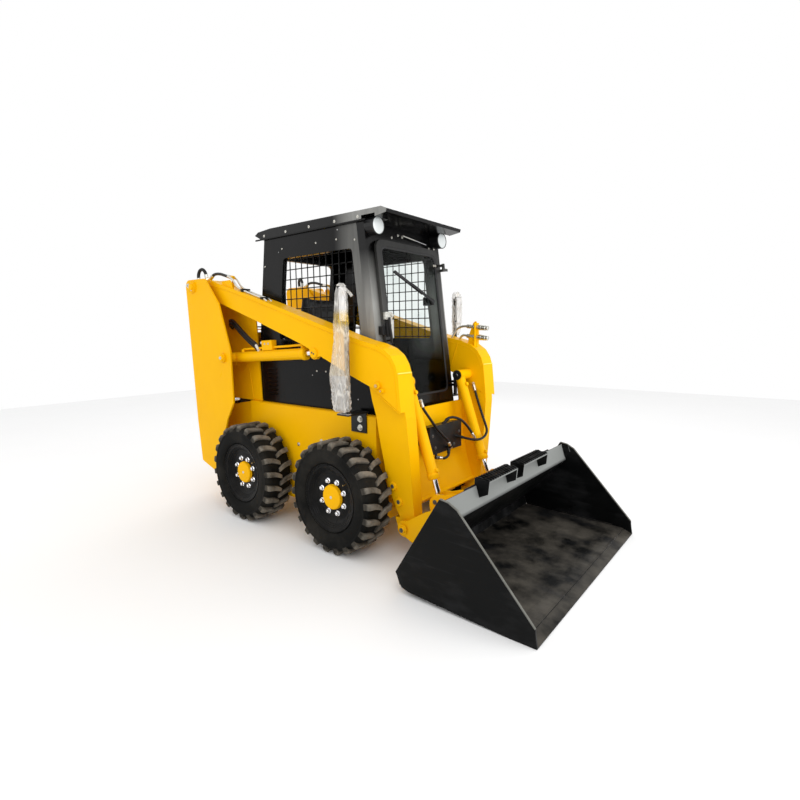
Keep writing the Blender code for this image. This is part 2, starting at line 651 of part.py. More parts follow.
def build_roof(root):
    """Build the roof with its visor, and the two work lights in pockets under it."""
    under = CAB_TOP + TOUCH
    outline = [(cab_rear(under) - 0.010, under), (cab_front(under) + 0.030, under)]
    outline += ahead([(0.268, 2.008), (0.273, 2.028), (0.230, 2.046)])
    outline += astern([(0.100, 2.056), (-0.040, 2.046), (-0.079, 2.026)])
    pocket_x = (cab_front(under) - 0.008, cab_front(under) + 0.100)
    pockets = [cut(block(pocket_x, span(side, LIGHT_Y - 0.060, 1.0), (1.900, 2.016))) for side, _ in SIDES]
    root.piece("cab_roof", BLACK, side_plate(outline, -ROOF_HALF_WIDTH, ROOF_HALF_WIDTH), *pockets)
    for side, name in SIDES:
        light = bar((CAB_FRONT_X + TOUCH, side * LIGHT_Y, LIGHT_Z),
                    (CAB_FRONT_X + 0.062, side * LIGHT_Y, LIGHT_Z),
                    0.0525)
        root.piece(f"work_light_{name}", LENS, leaned(light, CAB_LEAN, CAB_FRONT_Z))


def build_cab_floor(root):
    """Build the stepped floor, the seat, the lap bar and the control levers."""
    inner = CAB_HALF_WIDTH - CAB_WALL - TOUCH
    well = CAB_HALF_WIDTH - CAB_WALL - 0.025
    platform = block((cab_rear(SEAT_PLATFORM) + CAB_WALL + TOUCH, FRONT_X - 0.254), (-inner, inner),
                     (SEAT_PLATFORM - 0.020, SEAT_PLATFORM))
    step = ahead([(-0.266, SEAT_PLATFORM), (-0.254, SEAT_PLATFORM), (-0.254, FOOTWELL + 0.012),
                  (0.134, FOOTWELL + 0.012), (0.134, 0.900), (0.146, 0.900), (0.146, FOOTWELL),
                  (-0.266, FOOTWELL)])
    seat_rear, seat_front = FRONT_X - 0.714, FRONT_X - 0.264
    base_top = SEAT_PLATFORM + 0.025
    seat_base = block((seat_rear + 0.05, seat_front - 0.04), (-0.19, 0.19), (SEAT_PLATFORM - 0.01, base_top))
    root.piece("cab_floor", BLACK, platform, add(side_plate(step, -well, well)), add(seat_base))
    cushion_top = base_top + 0.120
    cushion = filleted([(seat_rear, base_top + TOUCH, 0.03), (seat_front, base_top + TOUCH, 0.03),
                        (seat_front, cushion_top, 0.04), (seat_rear, cushion_top, 0.0)])
    root.piece("seat_cushion", SEAT_CLOTH, side_plate(cushion, -0.220, 0.220))
    back = [(seat_rear - 0.040, cushion_top + TOUCH, 0.0), (seat_rear + 0.070, cushion_top + TOUCH, 0.0),
            (seat_rear + 0.030, cushion_top + 0.500, 0.04), (seat_rear - 0.060, cushion_top + 0.500, 0.04)]
    root.piece("seat_back", SEAT_CLOTH, side_plate(filleted(back), -0.215, 0.215))
    for side, name in SIDES:
        foot = (FRONT_X - 0.124, side * 0.220, FOOTWELL + 0.012 + TOUCH)
        knee = (FRONT_X - 0.134, side * 0.220, 1.020)
        grip = (FRONT_X - 0.150, side * 0.200, 1.140)
        handle = bar(knee, grip, 0.019, 12)
        root.piece(f"control_lever_{name}", PLASTIC, bar(foot, knee, 0.012, 12), add(handle))
    lap = Body("lap_bar", (LAP_PIVOT[0], 0, LAP_PIVOT[1]), root)
    reach = LAP_PIVOT[0] + 0.370
    tube = 0.026
    outer, inner_edge = 0.322, 0.322 - tube
    plan = [(LAP_PIVOT[0] - 0.013, outer), (reach, outer), (reach, -outer), (LAP_PIVOT[0] - 0.013, -outer),
            (LAP_PIVOT[0] - 0.013, -inner_edge), (reach - tube, -inner_edge), (reach - tube, inner_edge),
            (LAP_PIVOT[0] - 0.013, inner_edge)]
    low = LAP_PIVOT[1] - tube / 2
    bosses = [add(cross_bar(LAP_PIVOT, 0.018, *span(side, outer - 0.010, inner + TOUCH - PIN_GAP), 12))
              for side, _ in SIDES]
    shape = extruded(plan, low, low + tube, lambda u, v, depth: (u, v, depth))
    lap.piece("lap_bar", PLASTIC, shape, *bosses)


def door_corners(half, low, high, low_radius, high_radius):
    """Return (y, z, radius) corners for the door or its opening.

    The lower right corner is cut away, so that the door swings past the right tilt cylinder's top.
    """
    inner = DOOR_HALF_WIDTH - half
    return [(-half, high, high_radius), (-half, CUT_CORNER_TOP + inner, 0.02),
            (-CUT_CORNER_Y + inner, CUT_CORNER_TOP - CUT_CORNER_DROP + inner, 0.02),
            (-CUT_CORNER_Y + inner, low, 0.02), (half, low, low_radius), (half, high, high_radius)]


def door_axis(height):
    """Return where the cab door's hinge axis is at a height."""
    return Vector((cab_front(height) + DOOR_GAP + DOOR_DEPTH + DOOR_AXIS_AHEAD, DOOR_AXIS_Y, height))


def door_brackets():
    """Return the cab door's hinge knuckles and the brackets that carry them past the door's edge."""
    shapes = []
    arm_y = DOOR_HALF_WIDTH + RUN_GAP
    axis_ahead = DOOR_GAP + DOOR_DEPTH + DOOR_AXIS_AHEAD
    for low in DOOR_KNUCKLES:
        high = low + KNUCKLE_HEIGHT
        z_low, z_high = low + 0.004, high - 0.004
        plan = [(-0.004, arm_y), (axis_ahead - 0.010, arm_y), (axis_ahead - 0.010, DOOR_AXIS_Y),
                (axis_ahead + 0.004, DOOR_AXIS_Y), (axis_ahead + 0.004, arm_y + 0.014),
                (-0.004, arm_y + 0.014)]
        shapes.append(extruded(plan, z_low, z_high, lambda u, v, depth: (cab_front(depth) + u, v, depth)))
        shapes.append(bar(door_axis(low), door_axis(high), KNUCKLE_RADIUS, 12))
    return shapes


def build_door(root):
    """Build the cab's front door, its glass and its hinge straps."""
    door = Body("cab_door", door_axis(1.4), root)
    half = DOOR_HALF_WIDTH
    shell = filleted(door_corners(half, DOOR_BOTTOM, DOOR_TOP, 0.05, 0.07))
    lip = filleted(door_corners(half - 0.015, DOOR_BOTTOM + 0.015, DOOR_TOP - 0.015, 0.04, 0.06))
    border = 0.040
    pane = filleted(door_corners(half - border, DOOR_BOTTOM + 0.055, DOOR_TOP - border, 0.05, 0.05))
    back = CAB_FRONT_X + DOOR_GAP
    face = back + DOOR_DEPTH
    shapes = [cross_plate(shell, back + 0.008, face), cross_plate(lip, back, back + 0.010),
              cross_plate(pane, back - 0.1, face + 0.1)]
    shell_shape, lip_shape, hole = [leaned(shape, CAB_LEAN, CAB_FRONT_Z) for shape in shapes]
    changes = [add(lip_shape), cut(hole)]
    for low in DOOR_KNUCKLES:
        start = low + KNUCKLE_HEIGHT + PIN_GAP
        end = start + KNUCKLE_HEIGHT
        strap = block((face - 0.004, face + DOOR_AXIS_AHEAD), (DOOR_AXIS_Y - 0.012, DOOR_AXIS_Y + 0.004),
                      (start + 0.006, end - 0.004))
        changes += [add(leaned(strap, CAB_LEAN, CAB_FRONT_Z)),
                    add(bar(door_axis(start), door_axis(end), KNUCKLE_RADIUS, 12))]
    door.piece("cab_door", BLACK, shell_shape, *changes)
    glass = cross_plate(inset(pane, TOUCH), face - 0.009, face - 0.003)
    door.piece("door_glass", GLASS, leaned(glass, CAB_LEAN, CAB_FRONT_Z))


# Rear covers

def hood_brackets():
    """Return the hood's hinge knuckles and the lugs that carry them on the cab's rear wall."""
    shapes = []
    for side, _ in SIDES:
        y = span(side, HOOD_KNUCKLE_Y + 0.060 + PIN_GAP, HOOD_KNUCKLE_Y + 0.110)
        shapes.append(cross_bar(HOOD_PIVOT, KNUCKLE_RADIUS, *y, 12))
        x = (HOOD_PIVOT[0], cab_rear(HOOD_PIVOT[1]) + 0.006)
        shapes.append(block(x, (y[0] + 0.006, y[1] - 0.006), (HOOD_PIVOT[1] - 0.008, HOOD_PIVOT[1] + 0.008)))
    return shapes


def build_hood(root):
    """Build the lid over the engine bay."""
    hood = Body("engine_hood", (HOOD_PIVOT[0], 0, HOOD_PIVOT[1]), root)
    top = HOOD_PIVOT[1] - 0.010
    outline = [(HOOD_PIVOT[0] - 0.008, top - 0.030, 0.0), (HOOD_PIVOT[0] - 0.008, top, 0.0),
               (tower_rear(top) + 0.005, top, 0.02), (tower_rear(top) + 0.005, top - 0.030, 0.0)]
    changes = []
    for side, _ in SIDES:
        y = span(side, HOOD_KNUCKLE_Y, HOOD_KNUCKLE_Y + 0.060)
        changes.append(add(cross_bar(HOOD_PIVOT, KNUCKLE_RADIUS, *y, 12)))
        x = (HOOD_PIVOT[0] - 0.030, HOOD_PIVOT[0])
        changes.append(add(block(x, (y[0] + 0.006, y[1] - 0.006), (top - 0.010, HOOD_PIVOT[1] + 0.006))))
    half = CAB_HALF_WIDTH - 0.010
    hood.piece("engine_hood", YELLOW, side_plate(filleted(outline), -half, half), *changes)


def build_rear_door(root):
    """Build the rear door with its grille slots and its hinge straps."""
    axis = rear_door_axis(0.900)
    door = Body("rear_door", axis, root)
    half = REAR_DOOR_HALF_WIDTH
    low, high = 0.565, 1.320
    corners = filleted([(-half, low, 0.03), (half, low, 0.03), (half, high, 0.05), (-half, high, 0.05)])
    outer, inner = TOWER_REAR_X - 0.036, TOWER_REAR_X - 0.006
    changes = []
    for z in GRILLE_HEIGHTS:
        for side, _ in SIDES:
            slot = block((outer - 0.1, inner + 0.1), span(side, 0.015, 0.240), (z, z + 0.040))
            changes.append(cut(leaned(slot, TOWER_REAR_LEAN, TOWER_REAR_Z)))
    for knuckle in REAR_DOOR_KNUCKLES:
        start = knuckle + KNUCKLE_HEIGHT + PIN_GAP
        end = start + KNUCKLE_HEIGHT
        strap = block((TOWER_REAR_X - REAR_DOOR_AXIS_BEHIND - 0.006, inner - 0.015),
                      (REAR_DOOR_AXIS_Y, -half + 0.020), (start + 0.006, end - 0.004))
        changes += [add(leaned(strap, TOWER_REAR_LEAN, TOWER_REAR_Z)),
                    add(bar(rear_door_axis(start), rear_door_axis(end), KNUCKLE_RADIUS, 12))]
    shape = leaned(cross_plate(corners, outer, inner), TOWER_REAR_LEAN, TOWER_REAR_Z)
    door.piece("rear_door", YELLOW, shape, *changes)


# Mirrors

def build_mirrors(root):
    """Build the mirror brackets: plate on the tub, lug, post, and a head that is folded upright beside it."""
    plate_y = TUB_HALF_WIDTH + TOUCH
    post_y = ARM_OUTER + 0.043
    foot_x, top_x = FRONT_X + 0.112, FRONT_X + 0.109
    for side, name in SIDES:
        across = span(side, plate_y, plate_y + 0.008)
        plate = block((FRONT_X - 0.009, FRONT_X + 0.119), across, (0.715, 0.850))
        across = span(side, plate_y + LAP, post_y + 0.024)
        lug = block((FRONT_X + 0.040, FRONT_X + 0.136), across, (0.842, 0.851))
        across = span(side, post_y + 0.004, post_y + 0.062)
        head = block((top_x - 0.008, top_x + 0.010), across, (1.385, 1.585))
        root.piece(f"mirror_{name}", PLASTIC, plate, add(lug),
                   add(bar((foot_x, side * post_y, 0.846), (top_x, side * post_y, 1.570), 0.014, 12)),
                   add(head))


# Lift arms and their cylinders

def arm_outline():
    """Return the side view of a lift arm, without its leg."""
    rear = arc(LIFT_PIVOT, 0.055, 85, 265, 8)
    under = astern([(-0.365, 1.555), (0.061, 1.421)]) + ahead([(-0.355, 1.259), (-0.268, 1.225)])
    lug = arc(LIFT_EYE, 0.040, 215, 325, 5)
    front = ahead([(-0.165, 1.182), (0.107, 1.069), (0.259, 1.013), (0.318, 0.978), (0.471, 0.885),
                   (0.461, 1.000), (0.452, 1.090), (0.434, 1.147), (0.401, 1.197), (0.346, 1.235),
                   (0.274, 1.260), (0.174, 1.281), (0.080, 1.306), (-0.046, 1.344)])
    return rear + under + lug + front + astern([(0.234, 1.529), (-0.488, 1.731)])


def leg_inner(height):
    """Return how far out a leg's inner face is at a height."""
    return ARM_INNER - LEG_INNER_LEAN * (LEG_TOP - height)


def leg_outer(height):
    """Return how far out a leg's outer face is at a height."""
    return LEG_OUTER - LEG_OUTER_LEAN * (LEG_TOP - height)


def leg_outline():
    """Return the side view of a lift arm's leg, from the elbow down to the coupler's pin and its rest lug."""
    front = ahead([(0.446, 1.090), (0.471, 0.885), (0.475, 0.850), (0.474, 0.650), (0.470, 0.450),
                   (0.467, 0.300)])
    foot = arc(COUPLER_PIVOT, 0.050, 0, -150, 8)
    rear = ahead([(0.333, 0.170), (0.320, 0.232), (0.357, 0.236), (0.298, 0.378), (0.283, 0.430),
                  (0.281, 0.457),
                  (0.275, 0.571), (0.261, 0.694), (0.252, 0.848), (0.234, 0.935), (0.225, 1.020),
                  (0.240, 1.090)])
    return front + foot + rear


def build_arms(root):
    """Build the two lift arms, the cross-member between their legs and the hose bracket on it."""
    arms = Body("lift_arms", (LIFT_PIVOT[0], 0, LIFT_PIVOT[1]), root)
    slot_half = LIFT_EYE_WIDTH / 2 + PIN_GAP
    slot_x = (LIFT_EYE[0] - 0.080, LIFT_EYE[0] + LIFT_EYE_RADIUS + 0.012)
    for side, name in SIDES:
        leg = extruded(leg_outline(), 0, 1, lambda u, v, depth: (
            u, side * (leg_inner(v) * (1 - depth) + leg_outer(v) * depth), v))
        slot = block(slot_x, span(side, LIFT_Y - slot_half, LIFT_Y + slot_half), (1.0, LIFT_EYE[1] + 0.045))
        inside = span(side, TOWER_INNER_FACE + PIN_GAP, TOWER_OUTER_FACE - PIN_GAP)
        rear_boss = cross_bar(LIFT_PIVOT, 0.055, *inside)
        foot_boss = cross_bar(COUPLER_PIVOT, FOOT_BOSS_RADIUS, *span(side, *FOOT_BOSS))
        beam = side_plate(arm_outline(), *span(side, ARM_INNER, ARM_OUTER))
        changes = [add(leg), add(foot_boss), add(rear_boss), cut(slot)]
        changes.append(add(bar(*sided(ARM_POST, side), NECK_RADIUS, 8)))
        for route, radius in ((TOWER_HOSE, LARGE_HOSE), (ARM_HOSE, MIDDLE_HOSE)):
            for end_last in (sided(route, side), sided(route, side)[::-1]):
                ends = hose_end(end_last, radius)
                changes.append(add(fitting(*ends, ARM_FITTING_LENGTH, ARM_FITTING_RADIUS)))
        arms.piece(f"arm_{name}", YELLOW, beam, *changes)
    line = ahead(CROSS_LINE)
    low, high = line[-1][1] - 0.050, line[0][1] + 0.050
    half_low, half_high = leg_inner(low) - TOUCH, leg_inner(high) - TOUCH
    between = cross_plate([(-half_low, low), (half_low, low), (half_high, high), (-half_high, high)], 0, 2)
    sheet = side_plate(strip(line, -0.012), -half_high, half_high)
    arms.piece("cross_member", YELLOW, sheet, ("INTERSECT", between))
    bracket = [(line[1][0] + TOUCH * 1.5, line[1][1]), (line[1][0] + 0.110, line[1][1] + 0.020),
               (line[1][0] + 0.110, line[2][1] - 0.060), (line[2][0] + TOUCH * 1.5, line[2][1])]
    unions = [add(bar(start, end, NECK_RADIUS, 8)) for start, end in UNION_NECKS]
    for name, far_end, length in HOSE_UNIONS:
        route = TILT_HOSES[name] if far_end else TILT_HOSES[name][::-1]
        unions.append(add(fitting(*hose_end(route, SMALL_HOSE), length, UNION_RADIUS)))
    arms.piece("hose_block", PLASTIC, side_plate(bracket, -0.160, 0.200), *unions)
    return arms


def strip(line, thickness):
    """Return the closed outline of a sheet that follows a line; the sheet lies to the line's left."""
    far = []
    for i, point in enumerate(line):
        here = Vector(point)
        before = (here - Vector(line[i - 1])).normalized() if i else None
        after = (Vector(line[i + 1]) - here).normalized() if i + 1 < len(line) else None
        normals = [Vector((-d.y, d.x)) for d in (before, after) if d is not None]
        shift = normals[0]
        if len(normals) == 2:
            shift = (normals[0] + normals[1]) / (1 + normals[0].dot(normals[1]))
        far.append(tuple(here + shift * thickness))
    return list(line) + far[::-1]


def cylinder(root, name, base, eye, y, sizes, *changes):
    """Build one cylinder: a barrel that swings on its base and a rod that slides out of it.

    sizes holds the barrel's radius and length, the rod's radius, how far from the base its inner end is, the
    eye's radius and width, and how far the base boss reaches on each side of the cylinder's middle plane.
    changes are added to the barrel. Return the barrel's body.
    """
    barrel_radius, length, rod_radius, rod_start, eye_radius, eye_width, base_reach = sizes
    start, end = Vector((base[0], y, base[1])), Vector((eye[0], y, eye[1]))
    along = (end - start).normalized()
    barrel = Body(f"{name}_barrel", start, root)
    lip = barrel_radius + CYLINDER_LIP
    profile = [(0.020, 0), (0.020, barrel_radius), (length - 0.030, barrel_radius), (length - 0.028, lip),
               (length, lip), (length, rod_radius + PIN_GAP), (0.060, rod_radius + PIN_GAP), (0.060, 0)]
    boss = cross_bar(base, eye_radius + 0.004, y + base_reach[0], y + base_reach[1])
    barrel.piece(f"{name}_barrel", YELLOW, turned(profile, start, along), add(boss), *changes)
    rod = Body(f"{name}_rod", end, barrel)
    reach = (end - start).length
    rod_end = reach - eye_radius * 0.6
    rod_profile = [(rod_start, 0), (rod_start, rod_radius), (rod_end, rod_radius), (rod_end, 0)]
    eye_bar = cross_bar(eye, eye_radius, y - eye_width / 2, y + eye_width / 2)
    rod.piece(f"{name}_rod", CHROME, turned(rod_profile, start, along), add(eye_bar))
    return barrel


def build_cylinders(root, arms):
    """Build the lift cylinders on the towers and the tilt cylinders on the arms.

    Return the lift cylinders' barrels by side.
    """
    lift_barrels = {}
    for side, name in SIDES:
        near, far = TOWER_INNER_FACE + PIN_GAP - LIFT_Y, TOWER_OUTER_FACE - PIN_GAP - LIFT_Y
        reach = sorted((side * near, side * far))
        sizes = (LIFT_BARREL_RADIUS, LIFT_BARREL_LENGTH, LIFT_ROD_RADIUS, LIFT_ROD_START, LIFT_EYE_RADIUS,
                 LIFT_EYE_WIDTH, reach)
        inner, outer = hose_end(sided(LIFT_HOSE, side), LARGE_HOSE)
        port = fitting(inner, outer, PORT_LENGTH, PORT_RADIUS)
        barrel = cylinder(root, f"lift_{name}", LIFT_BASE, LIFT_EYE, side * LIFT_Y, sizes, add(port))
        lift_barrels[name] = barrel
        near, far = -TILT_EYE_WIDTH / 2 - 0.006, ARM_INNER - PIN_GAP - TILT_Y
        reach = sorted((side * near, side * far))
        sizes = (TILT_BARREL_RADIUS, TILT_BARREL_LENGTH, TILT_ROD_RADIUS, TILT_ROD_START, TILT_EYE_RADIUS,
                 TILT_EYE_WIDTH, reach)
        cylinder(arms, f"tilt_{name}", TILT_TOP, TILT_EYE, side * TILT_Y, sizes)
    return lift_barrels


# Coupler and bucket

def from_pivot(points):
    """Turn (distance ahead, distance up) along the coupler's slanted mounting plane into (x, z) places."""
    up = Vector((math.cos(MOUNT_ANGLE), math.sin(MOUNT_ANGLE)))
    forth = Vector((up.y, -up.x))
    return [tuple(Vector(COUPLER_PIVOT) + forth * n + up * t) for n, t in points]


def build_coupler(tool):
    """Build the quick coupler: its ears, the cross tube and the mounting plate."""
    plane = MOUNT_AHEAD - PIN_GAP
    bottom, top = 0.000, 0.404
    low_edge, high_edge = from_pivot([(plane - 0.004, bottom + 0.003), (plane - 0.004, top - 0.003)])
    outer_ear = arc(COUPLER_PIVOT, 0.048, 75, 285, 8) + ahead([(0.469, 0.126)]) + [low_edge, high_edge]
    outer_ear += ahead([(0.566, 0.322)])
    rod_ear = ahead([(0.521, 0.320), (0.550, 0.225)]) + [low_edge, high_edge]
    rod_ear += ahead([(0.684, 0.423), (0.618, 0.402), (0.562, 0.396), (0.543, 0.380), (0.524, 0.356)])
    pin_ear = arc(COUPLER_PIVOT, 0.042, 75, 285, 8)
    pin_ear += from_pivot([(plane - 0.005, 0.005), (plane - 0.005, 0.140)])
    plate = from_pivot([(plane - 0.014, bottom), (plane, bottom), (plane, top), (plane - 0.014, top)])
    tube_at = from_pivot([(0.140, 0.080)])[0]
    half = FOOT_BOSS[1] + PIN_GAP + COUPLER_EAR
    changes = [add(cross_bar(tube_at, 0.032, -half + LAP, half - LAP))]
    gap = TILT_BARREL_RADIUS + CYLINDER_LIP + 0.005
    for side, _ in SIDES:
        changes.append(add(side_plate(outer_ear, *span(side, FOOT_BOSS[1] + PIN_GAP, half + LAP))))
        beside = FOOT_BOSS[0] - PIN_GAP
        changes.append(add(side_plate(pin_ear, *span(side, beside - COUPLER_EAR, beside))))
        changes.append(add(cross_bar(COUPLER_PIVOT, 0.022, *span(side, half - LAP, half + 0.010))))
        for near, far in ((gap, gap + ROD_EAR), (-gap - ROD_EAR, -gap)):
            changes.append(add(side_plate(rod_ear, *span(side, TILT_Y + near, TILT_Y + far))))
        eye_side = TILT_EYE_WIDTH / 2 + PIN_GAP
        for near, far in ((eye_side, gap + 0.004), (-gap - 0.004, -eye_side)):
            changes.append(add(cross_bar(TILT_EYE, 0.020, *span(side, TILT_Y + near, TILT_Y + far))))
    tool.piece("coupler", YELLOW, side_plate(plate, -half, half), *changes)


def build_bucket(tool):
    """Build the bucket: bent sheet, side plates, cutting edge, mounting plate and two steps."""
    inner = BUCKET_HALF_WIDTH - BUCKET_PLATE
    sheet = ahead([(0.882, 0.533), (0.912, 0.431), (0.602, 0.102), (0.624, 0.046), (0.941, 0.035),
                   (1.266, 0.025),
                   (1.320, 0.022)])
    side_outline = ahead([(0.876, 0.546), (0.925, 0.538), (0.976, 0.512), (1.362, 0.085), (1.366, 0.041),
                          (BUCKET_REACH, 0.006), (BUCKET_REACH, BUCKET_CLEAR), (1.244, BUCKET_CLEAR),
                          (0.686, 0.028),
                          (0.642, 0.040), (0.604, 0.112)])
    edge = ahead([(1.244, BUCKET_CLEAR), (BUCKET_REACH, BUCKET_CLEAR), (BUCKET_REACH, 0.006), (1.320, 0.024),
                  (1.244, 0.024)])
    mount = from_pivot([(MOUNT_AHEAD, 0.036), (MOUNT_AHEAD + 0.010, 0.036), (MOUNT_AHEAD + 0.010, 0.544),
                        (MOUNT_AHEAD, 0.544)])
    mount_half = FOOT_BOSS[1] + 0.091
    changes = [add(side_plate(side_outline, *span(side, inner, BUCKET_HALF_WIDTH))) for side, _ in SIDES]
    changes.append(add(side_plate(edge, -inner - 0.002, inner + 0.002)))
    changes.append(add(side_plate(mount, -mount_half, mount_half)))
    for y_low, y_high in STEPS:
        for y in (y_low, y_high - 0.008):
            cheek = ahead([(0.880, 0.500), (0.898, 0.470), (0.960, 0.500), (0.968, 0.568), (0.880, 0.574)])
            changes.append(add(side_plate(cheek, y, y + 0.008)))
        tread = ahead([(0.882, 0.566), (0.966, 0.560), (0.967, 0.568), (0.882, 0.574)])
        changes.append(add(side_plate(tread, y_low, y_high)))
    shell = side_plate(strip(sheet, 0.008), -inner - 0.002, inner + 0.002)
    tool.piece("bucket", SATIN_BLACK, shell, *changes)


# Hoses

def smooth_line(route, spacing):
    """Return points about spacing apart on a smooth curve through a route's own points."""
    points = [Vector(place) for place in route]
    padded = [points[0] * 2 - points[1], *points, points[-1] * 2 - points[-2]]
    line = []
    for a, b, c, d in zip(padded, padded[1:], padded[2:], padded[3:]):
        for step in range(SMOOTH_STEPS):
            t = step / SMOOTH_STEPS
            line.append(0.5 * (2 * b + (c - a) * t + (2 * a - 5 * b + 4 * c - d) * t ** 2
                               + (3 * b - a - 3 * c + d) * t ** 3))
    line.append(points[-1])
    distances = [0.0]
    for first, second in zip(line, line[1:]):
        distances.append(distances[-1] + (second - first).length)
    count = max(3, round(distances[-1] / spacing))
    even = []
    for i in range(count + 1):
        target = distances[-1] * i / count
        j = max(k for k in range(len(line) - 1) if distances[k] <= target)
        share = (target - distances[j]) / (distances[j + 1] - distances[j])
        even.append(line[j].lerp(line[j + 1], share))
    return even


def sided(route, side):
    """Return a left-hand route as it runs on one side."""
    return [(x, side * y, z) for x, y, z in route]


def hose_end(route, radius):
    """Return the last two points of a hose, the outer one last."""
    return smooth_line(route, HOSE_POINT_EVERY * 2 * radius)[-2:]


def fitting(inner, outer, length, radius):
    """Make a round fitting that meets a hose's end face to face."""
    way = (outer - inner).normalized()
    return bar(outer + way * TOUCH, outer + way * length, radius, 8)


def hose(body, name, route, radius):
    """Make one hydraulic hose: a round tube along a smooth curve."""
    curve = bpy.data.curves.new(name, "CURVE")
    curve.dimensions = "3D"
    curve.bevel_depth = radius
    curve.bevel_resolution = 2
    curve.use_fill_caps = True
    line = smooth_line(route, HOSE_POINT_EVERY * 2 * radius)
    spline = curve.splines.new("POLY")
    spline.points.add(len(line) - 1)
    for point, place in zip(spline.points, line):
        point.co = (*(place - body.origin), 1.0)
    curve.materials.append(material(RUBBER))
    body.link(name, curve)


def build_hoses(arms, lift_barrels):
    """Build the hoses of the tilt cylinders, and on each side those of the lift cylinder and the arm."""
    for name, route in TILT_HOSES.items():
        hose(arms, name, route, SMALL_HOSE)
    for side, name in SIDES:
        for body, kind, route, radius in (
            (lift_barrels[name], "lift", LIFT_HOSE, LARGE_HOSE),
            (arms, "tower", TOWER_HOSE, LARGE_HOSE),
            (arms, "arm", ARM_HOSE, MIDDLE_HOSE),
        ):
            hose(body, f"hose_{kind}_{name}", sided(route, side), radius)


def main():
    """Build the whole machine in an empty scene."""
    for existing in list(bpy.data.objects):
        bpy.data.objects.remove(existing)
    root = Body("machine")
    build_chassis(root)
    build_towers(root)
    build_axles(root)
    build_wheels(root)
    build_engine(root)
    build_cab(root)
    build_door(root)
    build_hood(root)
    build_rear_door(root)
    build_mirrors(root)
    arms = build_arms(root)
    lift_barrels = build_cylinders(root, arms)
    build_hoses(arms, lift_barrels)
    tool = Body("bucket_tilt", (COUPLER_PIVOT[0], 0, COUPLER_PIVOT[1]), arms)
    build_coupler(tool)
    build_bucket(tool)


main()
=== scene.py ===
"""A skid steer loader: its visible surfaces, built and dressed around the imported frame."""

import json
import logging
import math
from dataclasses import dataclass, field
from enum import Enum

import bmesh
import bpy
from mathutils import Matrix, Vector, noise

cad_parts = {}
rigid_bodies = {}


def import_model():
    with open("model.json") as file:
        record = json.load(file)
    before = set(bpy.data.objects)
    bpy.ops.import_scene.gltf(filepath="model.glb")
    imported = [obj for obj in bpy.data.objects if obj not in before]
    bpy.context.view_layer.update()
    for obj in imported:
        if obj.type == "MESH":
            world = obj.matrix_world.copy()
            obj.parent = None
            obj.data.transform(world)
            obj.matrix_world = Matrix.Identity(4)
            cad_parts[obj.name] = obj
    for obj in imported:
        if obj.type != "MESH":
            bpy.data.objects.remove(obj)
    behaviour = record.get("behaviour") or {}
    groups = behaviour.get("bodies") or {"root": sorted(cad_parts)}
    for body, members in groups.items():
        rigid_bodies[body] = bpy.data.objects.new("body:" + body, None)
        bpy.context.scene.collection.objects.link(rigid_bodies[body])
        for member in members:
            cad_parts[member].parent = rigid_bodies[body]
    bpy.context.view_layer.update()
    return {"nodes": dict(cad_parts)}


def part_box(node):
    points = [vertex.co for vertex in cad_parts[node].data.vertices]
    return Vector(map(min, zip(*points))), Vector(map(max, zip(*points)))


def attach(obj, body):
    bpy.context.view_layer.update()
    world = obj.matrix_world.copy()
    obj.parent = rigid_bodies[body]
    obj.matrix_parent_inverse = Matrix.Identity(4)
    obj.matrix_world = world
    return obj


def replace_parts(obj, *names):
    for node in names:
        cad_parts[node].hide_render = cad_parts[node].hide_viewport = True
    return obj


for spare in list(bpy.data.objects):
    bpy.data.objects.remove(spare)
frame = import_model()

log = logging.getLogger("loader")

Point = tuple[float, float, float]
Outline = list[tuple[float, float]]
Spots = list[tuple[Vector, Point]]
Socket = bpy.types.NodeSocket
Tree = bpy.types.GeometryNodeTree
Piece = bpy.types.Object
Mesh = bpy.types.Mesh

SIDES = ((1, "left"), (-1, "right"))


def middle(node: str) -> Vector:
    """Return the middle of a CAD node's box."""
    low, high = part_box(node)
    return (low + high) / 2


FRONT_AXLE = middle("tyre_front_left")
REAR_AXLE = middle("tyre_rear_left")
MID_X = (FRONT_AXLE.x + REAR_AXLE.x) / 2
HALF_BASE = (FRONT_AXLE.x - REAR_AXLE.x) / 2
AXLE_Z = FRONT_AXLE.z
CAB_LEAN = 0.122
REAR_LEAN = 0.0744
DOOR_OUT = (1, 0, 0.12)


def at(x: float, y: float, z: float) -> Vector:
    """Turn a place counted from midway between the axles into a place in the row frame."""
    return Vector((x + MID_X, y, z))


def along(points: list[Point]) -> list[Vector]:
    """Turn several places counted from midway between the axles into the row frame."""
    return [at(*point) for point in points]


def cab_front(height: float) -> float:
    """Return how far ahead the cab's leaning front plane is at a height."""
    return HALF_BASE + 0.085 + CAB_LEAN * (1.953 - height)


def door_face(height: float) -> float:
    """Return how far ahead the cab door's outer face is at a height."""
    return cab_front(height) + 0.031


# Finishes


class Sense(Enum):
    """What a pattern can follow: a coordinate of the place, or one of the way a surface faces."""

    REACH = ("Object", "X")
    HEIGHT = ("Object", "Z")
    AHEAD = ("Normal", "X")
    ACROSS = ("Normal", "Y")
    UPWARD = ("Normal", "Z")


